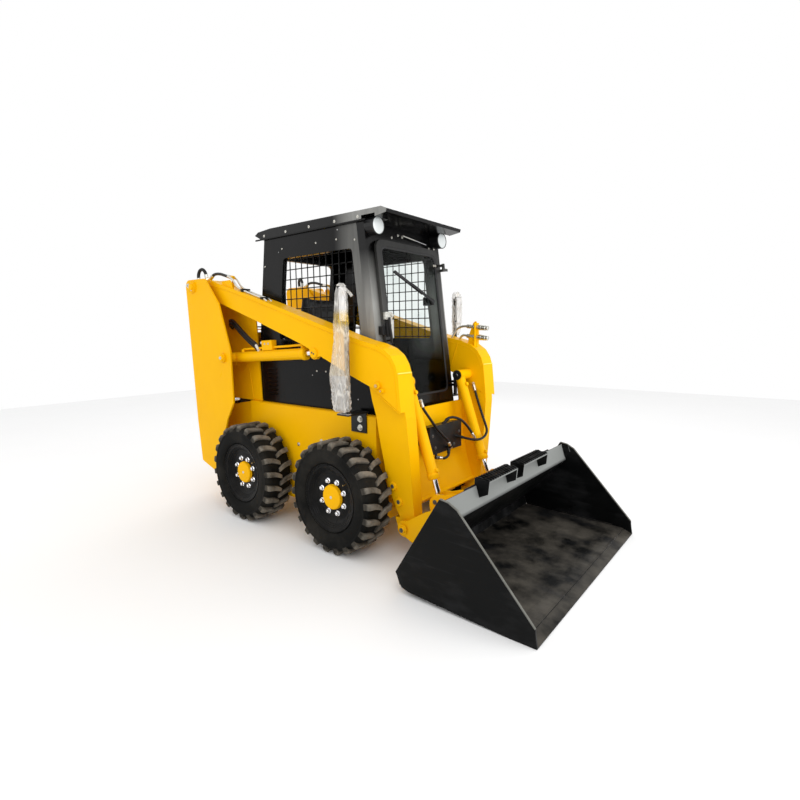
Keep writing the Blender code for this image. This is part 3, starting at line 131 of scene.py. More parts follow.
class Graph:
    """The node tree of one material, built up in plain steps."""

    def __init__(self, name: str) -> None:
        """Start a material with its Principled shader.

        Args:
            name: The material's name.
        """
        self.material = bpy.data.materials.new(name)
        self.material.use_nodes = True
        self.tree = self.material.node_tree
        self.shader = self.tree.nodes["Principled BSDF"]
        self.places = self.tree.nodes.new("ShaderNodeTexCoord").outputs

    def feed(self, socket: Socket, value: object) -> None:
        """Link an output to a socket, or set the socket's own value.

        Args:
            socket: The socket.
            value: An output or a plain value.
        """
        if isinstance(value, Socket):
            self.tree.links.new(value, socket)
        else:
            socket.default_value = value

    def node(self, kind: str, feeds: dict | None = None, **settings: object) -> bpy.types.Node:
        """Add a node.

        Args:
            kind: The node's type, without the ShaderNode in front.
            feeds: What goes into its sockets, by name or number.
            settings: Its properties.

        Returns:
            The new node.
        """
        made = self.tree.nodes.new("ShaderNode" + kind)
        for name, value in settings.items():
            setattr(made, name, value)
        for key, value in (feeds or {}).items():
            self.feed(made.inputs[key], value)
        return made

    def read(self, sense: Sense) -> Socket:
        """Return one coordinate of the place or of the surface's facing."""
        source, axis = sense.value
        return self.node("SeparateXYZ", {0: self.places[source]}).outputs[axis]

    def stretched(self, scale: Point) -> Socket:
        """Return Object coordinates scaled by axis."""
        return self.node("Mapping", {"Vector": self.places["Object"], "Scale": scale}).outputs[0]

    def noise(self, scale: float, detail: float = 3.0, stretch: Point = (1, 1, 1)) -> Socket:
        """Return a noise on Object coordinates."""
        feeds = {"Vector": self.stretched(stretch), "Scale": scale, "Detail": detail, "Roughness": 0.6}
        return self.node("TexNoise", feeds).outputs[0]

    def cells(self, scale: float) -> Socket:
        """Return the distance to the nearest of many scattered points."""
        return self.node("TexVoronoi", {"Vector": self.places["Object"], "Scale": scale}).outputs["Distance"]

    def spread(self, value: object, low: float, high: float, start: float = 0.0, end: float = 1.0) -> Socket:
        """Map a value from low..high to start..end, and hold it there outside."""
        return self.node("MapRange", {0: value, 1: low, 2: high, 3: start, 4: end}).outputs[0]

    def times(self, *factors: Socket | float) -> Socket:
        """Multiply two or more values."""
        product = factors[0]
        for factor in factors[1:]:
            product = self.node("Math", {0: product, 1: factor}, operation="MULTIPLY").outputs[0]
        return product

    def most(self, first: Socket, second: Socket) -> Socket:
        """Return the larger of two values."""
        return self.node("Math", {0: first, 1: second}, operation="MAXIMUM").outputs[0]

    def mixed(self, share: Socket, first: object, second: object) -> Socket:
        """Mix two colours by a share."""
        feeds = {"Factor": share, 6: opaque(first), 7: opaque(second)}
        return self.node("Mix", feeds, data_type="RGBA").outputs[2]

    def corner(self, radius: float) -> tuple[Socket, Socket]:
        """Round edges.

        Args:
            radius: How wide the rounding is.

        Returns:
            The rounded normal, and a mask that is 1 on edges.
        """
        rounded_off = self.node("Bevel", {"Radius": radius}, samples=4).outputs[0]
        plain = self.node("NewGeometry").outputs["Normal"]
        same = self.node("VectorMath", {0: rounded_off, 1: plain}, operation="DOT_PRODUCT").outputs["Value"]
        return rounded_off, self.spread(same, 0.97, 0.72)

    def relief(self, height: Socket, depth: float, normal: Socket | None = None) -> Socket:
        """Turn a height into a bumped normal.

        Args:
            height: The height, 0 to 1.
            depth: How deep it is, in metres.
            normal: The normal that it is laid over.

        Returns:
            The bumped normal.
        """
        feeds = {"Height": height, "Distance": depth, "Strength": 1.0}
        if normal is not None:
            feeds["Normal"] = normal
        return self.node("Bump", feeds).outputs[0]

    def finish(self, **values: object) -> None:
        """Set the shader's sockets, given by name with underscores for spaces."""
        for name, value in values.items():
            self.feed(self.shader.inputs[name.replace("_", " ")], value)


def opaque(colour: Point | Socket) -> object:
    """Return a colour with its alpha, or a socket as it is."""
    return (*colour, 1.0) if isinstance(colour, tuple) else colour


@dataclass(frozen=True)
class Finish:
    """A surface finish; each kind paints its own nodes."""

    name: str
    slot: str
    colour: Point
    roughness: float

    def paint(self, graph: Graph) -> None:
        """Build the nodes."""
        raise NotImplementedError

    def material(self) -> bpy.types.Material:
        """Build the finish's material once.

        Returns:
            The material.
        """
        found = bpy.data.materials.get("finish_" + self.name)
        if found:
            return found
        graph = Graph("finish_" + self.name)
        self.paint(graph)
        graph.material.diffuse_color = (*self.colour, 1.0)
        return graph.material


@dataclass(frozen=True)
class Enamel(Finish):
    """Sprayed machine paint with orange peel, soft edges, dust low down and worn arrises; where glare is set,
    a painted pale reflection over the cab's front.
    """

    shade: Point = (0.004, 0.004, 0.0042)
    dust: Point = (0.3, 0.22, 0.13)
    dust_share: float = 0.05
    flecks: float = 0.0
    gloss: float = 0.2
    # glare, glare_top and glare_ahead set how strong a painted pale reflection on the cab's front is: below
    # the eaves, at the top, and on faces that look ahead.
    glare: float = 0.0
    glare_top: float = 0.3
    glare_ahead: float = 1.0
    # The colour of that painted reflection.
    polish: Point = (0.3, 0.3, 0.285)
    chip: Point = (0.75, 0.76, 0.78)

    def shine(self, graph: Graph, colour: Socket) -> Socket:
        """Paint a pale reflection over the cab's front, strongest below the eaves.

        Args:
            graph: The material's graph.
            colour: The colour below.

        Returns:
            The colour with the painted reflection.
        """
        front = graph.spread(graph.read(Sense.REACH), MID_X + 0.28, MID_X + 0.44)
        height = graph.read(Sense.HEIGHT)
        rise = graph.spread(height, 1.12, 1.34, 0, self.glare)
        fall = graph.spread(height, 1.5, 1.82, 1, self.glare_top)
        # Streaky noise breaks up the painted reflection.
        streaks = graph.spread(graph.noise(9.0, 4, (1, 1, 0.08)), 0.3, 0.6, 0.6, 1.0)
        across = graph.read(Sense.ACROSS)
        outer = graph.spread(graph.times(across, across), 0.6, 0.9, self.glare_ahead, 1.0)
        return graph.mixed(graph.times(front, rise, fall, streaks, outer), colour, self.polish)

    def paint(self, graph: Graph) -> None:
        """Build the nodes.

        Args:
            graph: The material's graph.
        """
        rounded_off, edge = graph.corner(0.004)
        colour = graph.mixed(graph.spread(graph.noise(2.3, 4), 0.35, 0.7), self.colour, self.shade)
        # Painted reflection over the cab's front, where glare is set.
        if self.glare:
            colour = self.shine(graph, colour)
        low = graph.spread(graph.read(Sense.HEIGHT), 0.75, 0.12)
        grime = graph.times(low, graph.spread(graph.noise(9.0, 6), 0.42, 0.7))
        up = graph.spread(graph.read(Sense.UPWARD), 0.6, 0.95)
        ledge = graph.times(up, graph.spread(graph.noise(14.0, 5), 0.45, 0.8, 0, 0.5))
        colour = graph.mixed(graph.times(graph.most(grime, ledge), self.dust_share), colour, self.dust)
        worn = graph.times(edge, graph.spread(graph.noise(35.0, 4), 0.62, 0.74, 0, 0.35))
        colour = graph.mixed(worn, colour, self.dust)
        if self.flecks:
            specks = graph.spread(graph.cells(11.0), 0.05, 0.034)
            chips = graph.times(specks, graph.spread(graph.noise(5.0), 0.5, 0.56), self.flecks)
            colour = graph.mixed(chips, colour, self.chip)
        streaks = graph.noise(30.0, 5, (1, 1, 0.25))
        rough = graph.spread(streaks, 0.3, 0.75, self.roughness * 0.75, self.roughness * 1.35)
        peel = graph.relief(graph.noise(420.0, 2), 0.00005, rounded_off)
        graph.finish(Base_Color=colour, Roughness=rough, Normal=peel, Coat_Roughness=0.08,
                     Specular_IOR_Level=self.gloss)


@dataclass(frozen=True)
class WornSteel(Finish):
    """Satin-painted working steel: scuffed faces, bright edges, a dusty floor and a painted pale reflection
    on faces that look ahead high up.
    """

    scuff: Point = (0.022, 0.022, 0.023)
    earth: Point = (0.078, 0.07, 0.058)
    # The colour of the painted reflection on faces that look ahead.
    polish: Point = (0.26, 0.27, 0.26)
    bright: Point = (0.28, 0.27, 0.26)

    def paint(self, graph: Graph) -> None:
        """Build the nodes.

        Args:
            graph: The material's graph.
        """
        rounded_off, edge = graph.corner(0.003)
        rubbed = graph.times(graph.spread(graph.noise(7.0, 8, (0.4, 1.6, 1)), 0.48, 0.72), 0.7)
        colour = graph.mixed(rubbed, self.colour, self.scuff)
        scratches = graph.spread(graph.noise(60.0, 6, (0.05, 1, 1)), 0.6, 0.72, 0, 0.35)
        colour = graph.mixed(scratches, colour, self.scuff)
        height = graph.read(Sense.HEIGHT)
        flat = graph.spread(graph.read(Sense.UPWARD), 0.8, 0.97)
        low = graph.spread(height, 0.13, 0.07)
        floor = graph.times(flat, low, graph.spread(graph.noise(5.5, 9), 0.36, 0.66))
        colour = graph.mixed(floor, colour, self.earth)
        # Painted reflection: faces that look ahead, from about 0.43 m up, are lightened to stand for the
        # bright sky that they reflect.
        ahead = graph.spread(graph.read(Sense.AHEAD), 0.9, 0.95)
        reflected_brow = graph.times(ahead, graph.spread(height, 0.425, 0.445, 0, 0.85))
        colour = graph.mixed(reflected_brow, colour, self.polish)
        bare = graph.times(edge, graph.spread(graph.noise(22.0, 5), 0.5, 0.7, 0.05, 0.8))
        colour = graph.mixed(bare, colour, self.bright)
        rough = graph.spread(graph.noise(12.0, 6), 0.3, 0.7, self.roughness * 0.8, self.roughness * 1.5)
        pits = graph.relief(graph.noise(160.0, 5), 0.0003, rounded_off)
        graph.finish(Base_Color=colour, Roughness=rough, Normal=pits, Specular_IOR_Level=0.1)


@dataclass(frozen=True)
class Rubber(Finish):
    """Tyre rubber; the worn attribute says where dust lies on the lugs."""

    dust: Point = (0.2, 0.178, 0.146)

    def paint(self, graph: Graph) -> None:
        """Build the nodes.

        Args:
            graph: The material's graph.
        """
        worn = graph.node("Attribute", attribute_name="worn").outputs["Fac"]
        patches = graph.spread(graph.noise(17.0, 7), 0.3, 0.62, 0.25, 1.0)
        colour = graph.mixed(graph.times(worn, patches), self.colour, self.dust)
        colour = graph.mixed(graph.spread(graph.noise(5.0, 5), 0.45, 0.8, 0, 0.1), colour, self.dust)
        rough = graph.spread(worn, 0, 1, self.roughness, 0.92)
        grain = graph.relief(graph.noise(260.0, 4), 0.0004)
        graph.finish(Base_Color=colour, Roughness=rough, Normal=grain, Specular_IOR_Level=0.1)


@dataclass(frozen=True)
class Metal(Finish):
    """Bare or plated metal with fine turning marks and stains."""

    stain: Point
    marks: Point = (1, 1, 1)

    def paint(self, graph: Graph) -> None:
        """Build the nodes.

        Args:
            graph: The material's graph.
        """
        rounded_off, _ = graph.corner(0.0015)
        colour = graph.mixed(graph.spread(graph.noise(25.0, 5), 0.5, 0.75, 0, 0.55), self.colour, self.stain)
        turned = graph.noise(90.0, 4, self.marks)
        rough = graph.spread(turned, 0.3, 0.7, self.roughness * 0.7, self.roughness * 1.5)
        fine = graph.relief(graph.noise(300.0, 3, self.marks), 0.00005, rounded_off)
        graph.finish(Base_Color=colour, Roughness=rough, Normal=fine, Metallic=1.0)


@dataclass(frozen=True)
class Pane(Finish):
    """Clear sheet that light passes through, with faint smears."""

    tint: Point = (0.72, 0.8, 0.78)

    def paint(self, graph: Graph) -> None:
        """Build the nodes.

        Args:
            graph: The material's graph.
        """
        wiped = graph.noise(6.0, 6, (1, 1, 0.3))
        smear = graph.spread(wiped, 0.45, 0.8, self.roughness, self.roughness + 0.1)
        colour = graph.mixed(graph.spread(graph.noise(3.0, 3), 0.4, 0.7), self.colour, self.tint)
        graph.finish(Base_Color=colour, Roughness=smear, Transmission_Weight=1.0, IOR=1.12)


@dataclass(frozen=True)
class Film(Finish):
    """Thin clear wrapping film in folds and creases; an attribute gives it an orange tint in places."""

    tint: Point = (0.95, 0.62, 0.08)
    cover: float = 0.34

    def paint(self, graph: Graph) -> None:
        """Build the nodes.

        Args:
            graph: The material's graph.
        """
        feeds = {"Vector": graph.stretched((1, 1, 0.16)), "Scale": 26.0}
        creases = graph.node("TexVoronoi", feeds, feature="DISTANCE_TO_EDGE").outputs["Distance"]
        folds = graph.spread(creases, 0.0, 0.09)
        normal = graph.relief(folds, 0.003, graph.relief(graph.noise(22.0, 3, (1, 1, 0.3)), 0.006))
        tinted = graph.node("Attribute", attribute_name="tinted").outputs["Fac"]
        cover = graph.spread(folds, 0.0, 1.0, self.cover + 0.35, self.cover)
        graph.finish(Base_Color=graph.mixed(tinted, self.colour, self.tint), Roughness=self.roughness,
                     Normal=normal, Alpha=cover, Specular_IOR_Level=0.8, Coat_Weight=0.6, Coat_Roughness=0.06)


@dataclass(frozen=True)
class Grained(Finish):
    """Leathery vinyl, moulded plastic or hose cover with a fine pebbled grain."""

    grain: float
    depth: float
    dust: Point = (0.035, 0.033, 0.03)

    def paint(self, graph: Graph) -> None:
        """Build the nodes.

        Args:
            graph: The material's graph.
        """
        colour = graph.mixed(graph.spread(graph.noise(11.0, 5), 0.5, 0.8, 0, 0.3), self.colour, self.dust)
        rough = graph.spread(graph.noise(50.0, 4), 0.3, 0.7, self.roughness * 0.8, self.roughness * 1.2)
        pebble = graph.relief(graph.cells(self.grain), self.depth)
        graph.finish(Base_Color=colour, Roughness=rough, Normal=pebble, Specular_IOR_Level=0.3)


@dataclass(frozen=True)
class Lens(Finish):
    """Pressed pale lamp glass with upright flutes; no reflector is built behind it."""

    def paint(self, graph: Graph) -> None:
        """Build the nodes.

        Args:
            graph: The material's graph.
        """
        flutes = graph.node("TexWave", {"Vector": graph.stretched((0, 1, 0)), "Scale": 32.0}).outputs[1]
        colour = graph.mixed(graph.spread(graph.cells(90.0), 0.0, 0.5), self.colour, (0.66, 0.7, 0.7))
        graph.finish(Base_Color=colour, Roughness=self.roughness, Normal=graph.relief(flutes, 0.0012),
                     Coat_Weight=1.0, Coat_Roughness=0.03, Specular_IOR_Level=0.7)


@dataclass(frozen=True)
class Ground(Finish):
    """Pale studio floor."""

    def paint(self, graph: Graph) -> None:
        """Build the nodes."""
        tone = graph.spread(graph.noise(1.1, 4), 0.3, 0.7, 0, 0.2)
        graph.finish(Base_Color=graph.mixed(tone, self.colour, (0.86, 0.86, 0.86)),
                     Roughness=self.roughness, Specular_IOR_Level=0.2)


def black(name: str, **looks: float) -> Enamel:
    """Return a black cab enamel with its own looks: gloss, flecks and any painted reflection."""
    return Enamel(name, "cab_black", (0.0015, 0.0015, 0.0016), 0.2, dust=(0.1, 0.1, 0.1), **looks)


YELLOW = Enamel("loader_yellow", "machine_yellow", (0.9, 0.475, 0.001), 0.36,
                shade=(0.86, 0.435, 0.001), gloss=0.05)
# Painted highlight: a paler yellow for the arms' front weld, standing for the light that the raised bead
# catches.
SEAM_HIGHLIGHT = Enamel("seam_painted_highlight", "machine_yellow", (0.98, 0.78, 0.12), 0.4,
                     shade=(0.96, 0.7, 0.08), dust_share=0.0)
RIM_GLOSS = Enamel("rim_gloss", "rim_black", (0.0015, 0.0015, 0.0015), 0.3, shade=(0.004, 0.004, 0.004),
                   dust=(0.1, 0.09, 0.075), dust_share=0.08, gloss=0.1)
GLOSS_BLACK = black("cab_gloss", flecks=0.8, gloss=0.14)
# Roof, door, pillars and sides: black with a painted pale reflection of the bright surroundings, set by
# glare.
ROOF_BLACK = black("roof_painted_glare", glare=0.9, glare_top=1.0, glare_ahead=0.0)
DOOR_BLACK = black("door_painted_glare", glare=0.22)
PILLAR_BLACK = black("pillar_painted_glare", glare=0.95, glare_top=0.0)
POST_BLACK = black("post_painted_glare", flecks=0.8, gloss=0.14, glare=0.8, glare_top=0.55)
BUCKET_STEEL = WornSteel("bucket_satin", "bucket_black", (0.002, 0.0022, 0.0022), 0.34)
# A paler grey than the satin black, for the band along the side plates' edges.
PALE_EDGE = WornSteel("bucket_pale_edge", "bucket_black", (0.13, 0.13, 0.115), 0.42, scuff=(0.26, 0.26, 0.24))
TYRE = Rubber("tyre", "tyre_rubber", (0.0035, 0.0035, 0.003), 0.7)
CHROME = Metal("rod_chrome", "rod_chrome", (0.88, 0.88, 0.9), 0.1, (0.7, 0.69, 0.67), (1, 1, 6))
ZINC = Metal("zinc_plate", "rod_chrome", (0.66, 0.65, 0.6), 0.3, (0.45, 0.42, 0.34))
BRASS = Metal("brass", "rod_chrome", (0.7, 0.47, 0.2), 0.3, (0.4, 0.25, 0.1))
IRON = Metal("cast_iron", "engine_iron", (0.16, 0.155, 0.15), 0.6, (0.09, 0.07, 0.055))
VINYL = Grained("seat_vinyl", "seat_black", (0.022, 0.022, 0.023), 0.5, 520.0, 0.0003)
PLASTIC = Grained("moulded_plastic", "control_plastic", (0.005, 0.005, 0.0055), 0.42, 700.0, 0.0001)
HOSE = Grained("hose_cover", "hose_rubber", (0.006, 0.0055, 0.0055), 0.4, 900.0, 0.0003)
SEAL = Grained("door_seal", "control_plastic", (0.016, 0.016, 0.017), 0.55, 600.0, 0.0001)
GLASS = Pane("door_pane", "door_glass", (0.88, 0.93, 0.91), 0.01)
WRAP = Film("wrapping_film", "control_plastic", (0.86, 0.84, 0.8), 0.16)
LAMP = Lens("lamp_glass", "lamp_lens", (0.66, 0.7, 0.69), 0.22)
FLOOR = Ground("studio_floor", "", (0.9, 0.9, 0.9), 0.85)


# Shapes


class Axis(Enum):
    """The axis that an outline is extruded along."""

    X = "x"
    Y = "y"
    Z = "z"

    def place(self, u: float, v: float, depth: float) -> Vector:
        """Place an outline's point at a depth along the axis."""
        return at(*{Axis.X: (depth, u, v), Axis.Y: (u, depth, v), Axis.Z: (u, v, depth)}[self])


class Shape:
    """A mesh made up of several closed bodies."""

    def __init__(self) -> None:
        """Start with nothing."""
        self.mesh = bmesh.new()

    def loft(self, rings: list[list[Vector]], closed: bool = False) -> "Shape":
        """Skin rings of points.

        Args:
            rings: The rings, with as many points each.
            closed: Whether the last ring joins the first; the ends are capped if not.

        Returns:
            The shape.
        """
        made = [[self.mesh.verts.new(point) for point in ring] for ring in rings]
        pairs = list(zip(made, made[1:]))
        if closed:
            pairs.append((made[-1], made[0]))
        faces = [self.mesh.faces.new((first[i - 1], first[i], second[i], second[i - 1]))
                 for first, second in pairs for i in range(len(first))]
        if not closed:
            faces += [self.mesh.faces.new(made[0]), self.mesh.faces.new(made[-1])]
        bmesh.ops.recalc_face_normals(self.mesh, faces=faces)
        return self

    def prism(self, outline: Outline, low: float, high: float, axis: Axis = Axis.Y,
              chamfer: float = 0.0) -> "Shape":
        """Extrude an outline, whose points are counted from the axles' middle.

        Args:
            outline: The other two measures of its points, x before y before z.
            low: Where it starts.
            high: Where it ends.
            axis: The axis that it is extruded along.
            chamfer: How much its two faces' edges are cut back.

        Returns:
            The shape.
        """
        low, high = min(low, high), max(low, high)
        levels = [(outline, low + chamfer), (outline, high - chamfer)]
        if chamfer:
            inner = shrunk(outline, chamfer)
            levels = [(inner, low), *levels, (inner, high)]
        return self.loft([[axis.place(u, v, depth) for u, v in line] for line, depth in levels])

    def box(self, x: tuple, y: tuple, z: tuple, chamfer: float = 0.0) -> "Shape":
        """Make a box from (low, high) pairs, counted from the axles' middle."""
        return self.prism([(x[0], z[0]), (x[1], z[0]), (x[1], z[1]), (x[0], z[1])], *y, chamfer=chamfer)

    def turned(self, profile: Outline, base: Vector, axis: Point, sides: int = 24,
               closed: bool = False) -> "Shape":
        """Turn a profile about an axis.

        Args:
            profile: (distance along the axis, radius) pairs.
            base: Where distances start.
            axis: The axis's direction.
            sides: How many sides the round has.
            closed: Whether the profile closes into a ring; its ends are capped if not.

        Returns:
            The shape.
        """
        turn = Vector((0, 0, 1)).rotation_difference(Vector(axis).normalized())
        angles = [2 * math.pi * i / sides for i in range(sides)]
        return self.loft([[base + turn @ Vector((radius * math.cos(a), radius * math.sin(a), distance))
                           for a in angles] for distance, radius in profile], closed)

    def rod(self, start: Vector, end: Vector, radius: float, sides: int = 16,
            chamfer: float = 0.0) -> "Shape":
        """Make a round bar.

        Args:
            start: Its first end in the row frame.
            end: Its other end.
            radius: Its radius.
            sides: How many sides the round has.
            chamfer: How much its ends' edges are cut back.

        Returns:
            The shape.
        """
        length = (end - start).length
        edge = chamfer or radius * 0.12
        profile = [(0, radius - edge), (edge, radius), (length - edge, radius), (length, radius - edge)]
        return self.turned(profile, start, tuple(end - start), sides)

    def tube(self, points: list[Vector], radius: float, sides: int = 12) -> "Shape":
        """Sweep a round section along a line of places in the row frame."""
        return self.loft(swept(points, [radius] * len(points), sides))

    def pipe(self, points: list[Point], spacing: float, radius: float, sides: int = 12) -> "Shape":
        """Sweep a round section along a smooth curve through places counted from the axles' middle."""
        return self.tube(smooth_line(along(points), spacing), radius, sides)

    def band(self, points: list[Vector], across: Vector, width: float, thickness: float) -> "Shape":
        """Sweep a flat section along a line.

        Args:
            points: The line.
            across: The direction of the section's width.
            width: Its width.
            thickness: Its thickness.

        Returns:
            The shape.
        """
        rings = []
        side = across.normalized()
        for i, point in enumerate(points):
            up = heading_at(points, i).cross(side).normalized()
            rings.append([point + side * width / 2 * u + up * thickness / 2 * v
                          for u, v in ((-1, -1), (1, -1), (1, 1), (-1, 1))])
        return self.loft(rings)

    def plain(self, name: str) -> Mesh:
        """Turn the shape into a mesh and let go of it.

        Args:
            name: The mesh's name.

        Returns:
            The mesh.
        """
        data = bpy.data.meshes.new(name)
        self.mesh.to_mesh(data)
        self.mesh.free()
        return data

    def piece(self, name: str, finish: Finish, body: str = "machine", smooth: float = 32.0) -> Piece:
        """Make the shape a finished piece that rides on a body."""
        return dressed(bpy.data.objects.new(name, self.plain(name)), finish, body, smooth)


def linked(piece: Piece) -> Piece:
    """Put an object into the scene."""
    bpy.context.scene.collection.objects.link(piece)
    return piece


def dressed(piece: Piece, finish: Finish, body: str, smooth: float = 32.0) -> Piece:
    """Give a mesh piece its finish and let it ride on its body.

    Args:
        piece: The piece.
        finish: Its finish.
        body: The body that it rides on.
        smooth: Edges sharper than this angle stay sharp.

    Returns:
        The piece.
    """
    if piece.name not in bpy.context.scene.collection.objects:
        linked(piece)
    piece.data.materials.clear()
    piece.data.materials.append(finish.material())
    piece.data.polygons.foreach_set("use_smooth", [True] * len(piece.data.polygons))
    piece.data.set_sharp_from_angle(angle=math.radians(smooth))
    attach(piece, body)
    return piece


def coat(finish: Finish, *nodes: str) -> None:
    """Give CAD nodes their finish."""
    for name in nodes:
        for slot in frame["nodes"][name].material_slots:
            slot.material = finish.material()


def shrunk(outline: Outline, distance: float) -> Outline:
    """Move a closed outline's sides inwards.

    Args:
        outline: The outline.
        distance: How far.

    Returns:
        The smaller outline.
    """
    count = len(outline)
    area = sum(outline[i - 1][0] * outline[i][1] - outline[i][0] * outline[i - 1][1] for i in range(count))
    turn = 1 if area > 0 else -1
    moved = []
    for i in range(count):
        here = Vector(outline[i])
        before = (here - Vector(outline[i - 1])).normalized()
        after = (Vector(outline[(i + 1) % count]) - here).normalized()
        first, second = Vector((-before.y, before.x)) * turn, Vector((-after.y, after.x)) * turn
        moved.append(tuple(here + (first + second) / (1 + first.dot(second)) * distance))
    return moved


def rounded(outline: list[Point], steps: int = 6) -> Outline:
    """Round the corners of a closed outline.

    Args:
        outline: (u, v, radius) corners.
        steps: How many steps a round corner has.

    Returns:
        The outline's points.
    """
    line = []
    count = len(outline)
    for i, (u, v, radius) in enumerate(outline):
        here = Vector((u, v))
        if not radius:
            line.append((u, v))
            continue
        back = Vector(outline[i - 1][:2]) - here
        forth = Vector(outline[(i + 1) % count][:2]) - here
        reach = min(radius / math.tan(back.angle(forth) / 2), 0.45 * back.length, 0.45 * forth.length)
        start, end = here + back.normalized() * reach, here + forth.normalized() * reach
        for step in range(steps + 1):
            t = step / steps
            line.append(tuple(start * (1 - t) ** 2 + here * 2 * t * (1 - t) + end * t ** 2))
    return line


def smooth_line(points: list[Vector], spacing: float) -> list[Vector]:
    """Draw a smooth curve through points.

    Args:
        points: The points.
        spacing: About how far apart the curve's own points are.

    Returns:
        The curve's points.
    """
    line = []
    padded = [points[0] * 2 - points[1], *points, points[-1] * 2 - points[-2]]
    for i in range(1, len(padded) - 2):
        a, b, c, d = padded[i - 1:i + 3]
        steps = max(2, round((c - b).length / spacing * 4))
        for step in range(steps):
            t = step / steps
            line.append(0.5 * (2 * b + (c - a) * t + (2 * a - 5 * b + 4 * c - d) * t * t
                               + (3 * b - a - 3 * c + d) * t ** 3))
    line.append(points[-1])
    lengths = [0.0]
    for first, second in zip(line, line[1:]):
        lengths.append(lengths[-1] + (second - first).length)
    count = max(2, round(lengths[-1] / spacing))
    even, j = [], 0
    for i in range(count + 1):
        target = lengths[-1] * i / count
        while j < len(line) - 2 and lengths[j + 1] < target:
            j += 1
        share = (target - lengths[j]) / max(lengths[j + 1] - lengths[j], 1e-9)
        even.append(line[j].lerp(line[j + 1], min(max(share, 0.0), 1.0)))
    return even


def heading_at(points: list[Vector], number: int) -> Vector:
    """Return a line's direction at one of its points."""
    return (points[min(number + 1, len(points) - 1)] - points[max(number - 1, 0)]).normalized()


def swept(points: list[Vector], radii: list[float], sides: int) -> list[list[Vector]]:
    """Carry a round section along a line without twist.

    Args:
        points: The line.
        radii: The section's radius at each point.
        sides: How many sides the round has.

    Returns:
        The rings.
    """
    heading = (points[1] - points[0]).normalized()
    side = heading.orthogonal().normalized()
    rings = []
    for i, (point, radius) in enumerate(zip(points, radii)):
        ahead = heading_at(points, i)
        side = (heading.rotation_difference(ahead) @ side).normalized()
        heading = ahead
        other = heading.cross(side)
        rings.append([point + (side * math.cos(a) + other * math.sin(a)) * radius
                      for a in (2 * math.pi * k / sides for k in range(sides))])
    return rings


# What repeats


class Flow:
    """A geometry node tree, built up in plain steps."""

    def __init__(self, name: str, sizes: dict[str, float | int | Point]) -> None:
        """Start a tree with a geometry input and named size inputs.

        Args:
            name: The tree's name.
            sizes: The inputs' names and first values.
        """
        self.tree = bpy.data.node_groups.new(name, "GeometryNodeTree")
        self.tree.is_modifier = True
        face = self.tree.interface
        for way in ("OUTPUT", "INPUT"):
            face.new_socket("Geometry", in_out=way, socket_type="NodeSocketGeometry")
        kinds = {int: "NodeSocketInt", float: "NodeSocketFloat", tuple: "NodeSocketVector"}
        for title, value in sizes.items():
            face.new_socket(title, in_out="INPUT", socket_type=kinds[type(value)]).default_value = value
        face.new_socket("Finish", in_out="INPUT", socket_type="NodeSocketMaterial")
        self.given = self.tree.nodes.new("NodeGroupInput").outputs
        self.exit = self.tree.nodes.new("NodeGroupOutput")

    def node(self, kind: str, feeds: dict, **settings: object) -> bpy.types.NodeOutputs:
        """Add a node.

        Args:
            kind: The node's type, without the GeometryNode in front unless it is of another family.
            feeds: What goes into its sockets, by name or number; a list goes into one socket.
            settings: Its properties.

        Returns:
            The new node's outputs.
        """
        made = self.tree.nodes.new(kind if kind.startswith(("Shader", "Function")) else "GeometryNode" + kind)
        for name, value in settings.items():
            setattr(made, name, value)
        for key, value in feeds.items():
            for part in value if isinstance(value, list) else [value]:
                if isinstance(part, Socket):
                    self.tree.links.new(part, made.inputs[key])
                else:
                    made.inputs[key].default_value = part
        return made.outputs

    def sum(self, operation: str, *values: Socket | float) -> Socket:
        """Return the result of a sum on two or three values."""
        return self.node("ShaderNodeMath", dict(enumerate(values)), operation=operation)[0]

    def spread(self, points: Socket, instance: Socket, turn: Socket | None = None) -> Socket:
        """Put an instance on each point, turned if a turn is given."""
        turned = {} if turn is None else {"Rotation": turn}
        return self.node("InstanceOnPoints", {"Points": points, "Instance": instance, **turned})[0]

    def raised(self, geometry: Socket, height: Socket) -> Socket:
        """Lift geometry by a height."""
        place = self.node("ShaderNodeCombineXYZ", {2: height})[0]
        return self.node("Transform", {"Geometry": geometry, "Translation": place})[0]

    def close(self, geometry: Socket) -> Tree:
        """End the tree in realised, finished geometry.

        Args:
            geometry: What the tree has made.

        Returns:
            The tree.
        """
        real = self.node("RealizeInstances", {0: geometry})[0]
        done = self.node("SetMaterial", {"Geometry": real, "Material": self.given["Finish"]})[0]
        self.tree.links.new(done, self.exit.inputs[0])
        return self.tree


def grown(name: str, tree: Tree, seed: Mesh, sizes: dict, finish: Finish,
          body: str, smooth: float = 32.0) -> Piece:
    """Run a tree on a seed mesh and keep the result as a plain piece.

    Args:
        name: The piece's name.
        tree: The tree.
        seed: The mesh that goes in.
        sizes: Values for the tree's inputs, by their names.
        finish: The piece's finish.
        body: The body that it rides on.
        smooth: Edges sharper than this angle stay sharp.

    Returns:
        The piece.
    """
    maker = linked(bpy.data.objects.new(name, seed))
    modifier = maker.modifiers.new("grow", "NODES")
    modifier.node_group = tree
    sockets = {s.name: s.identifier for s in tree.interface.items_tree if s.in_out == "INPUT"}
    for title, value in {**sizes, "Finish": finish.material()}.items():
        modifier[sockets[title]] = value
    settle(maker)
    return dressed(maker, finish, body, smooth)


def settle(piece: Piece) -> None:
    """Turn a piece's modifiers into plain mesh."""
    ready = piece.evaluated_get(bpy.context.evaluated_depsgraph_get())
    result = bpy.data.meshes.new_from_object(ready)
    piece.modifiers.clear()
    piece.data = result


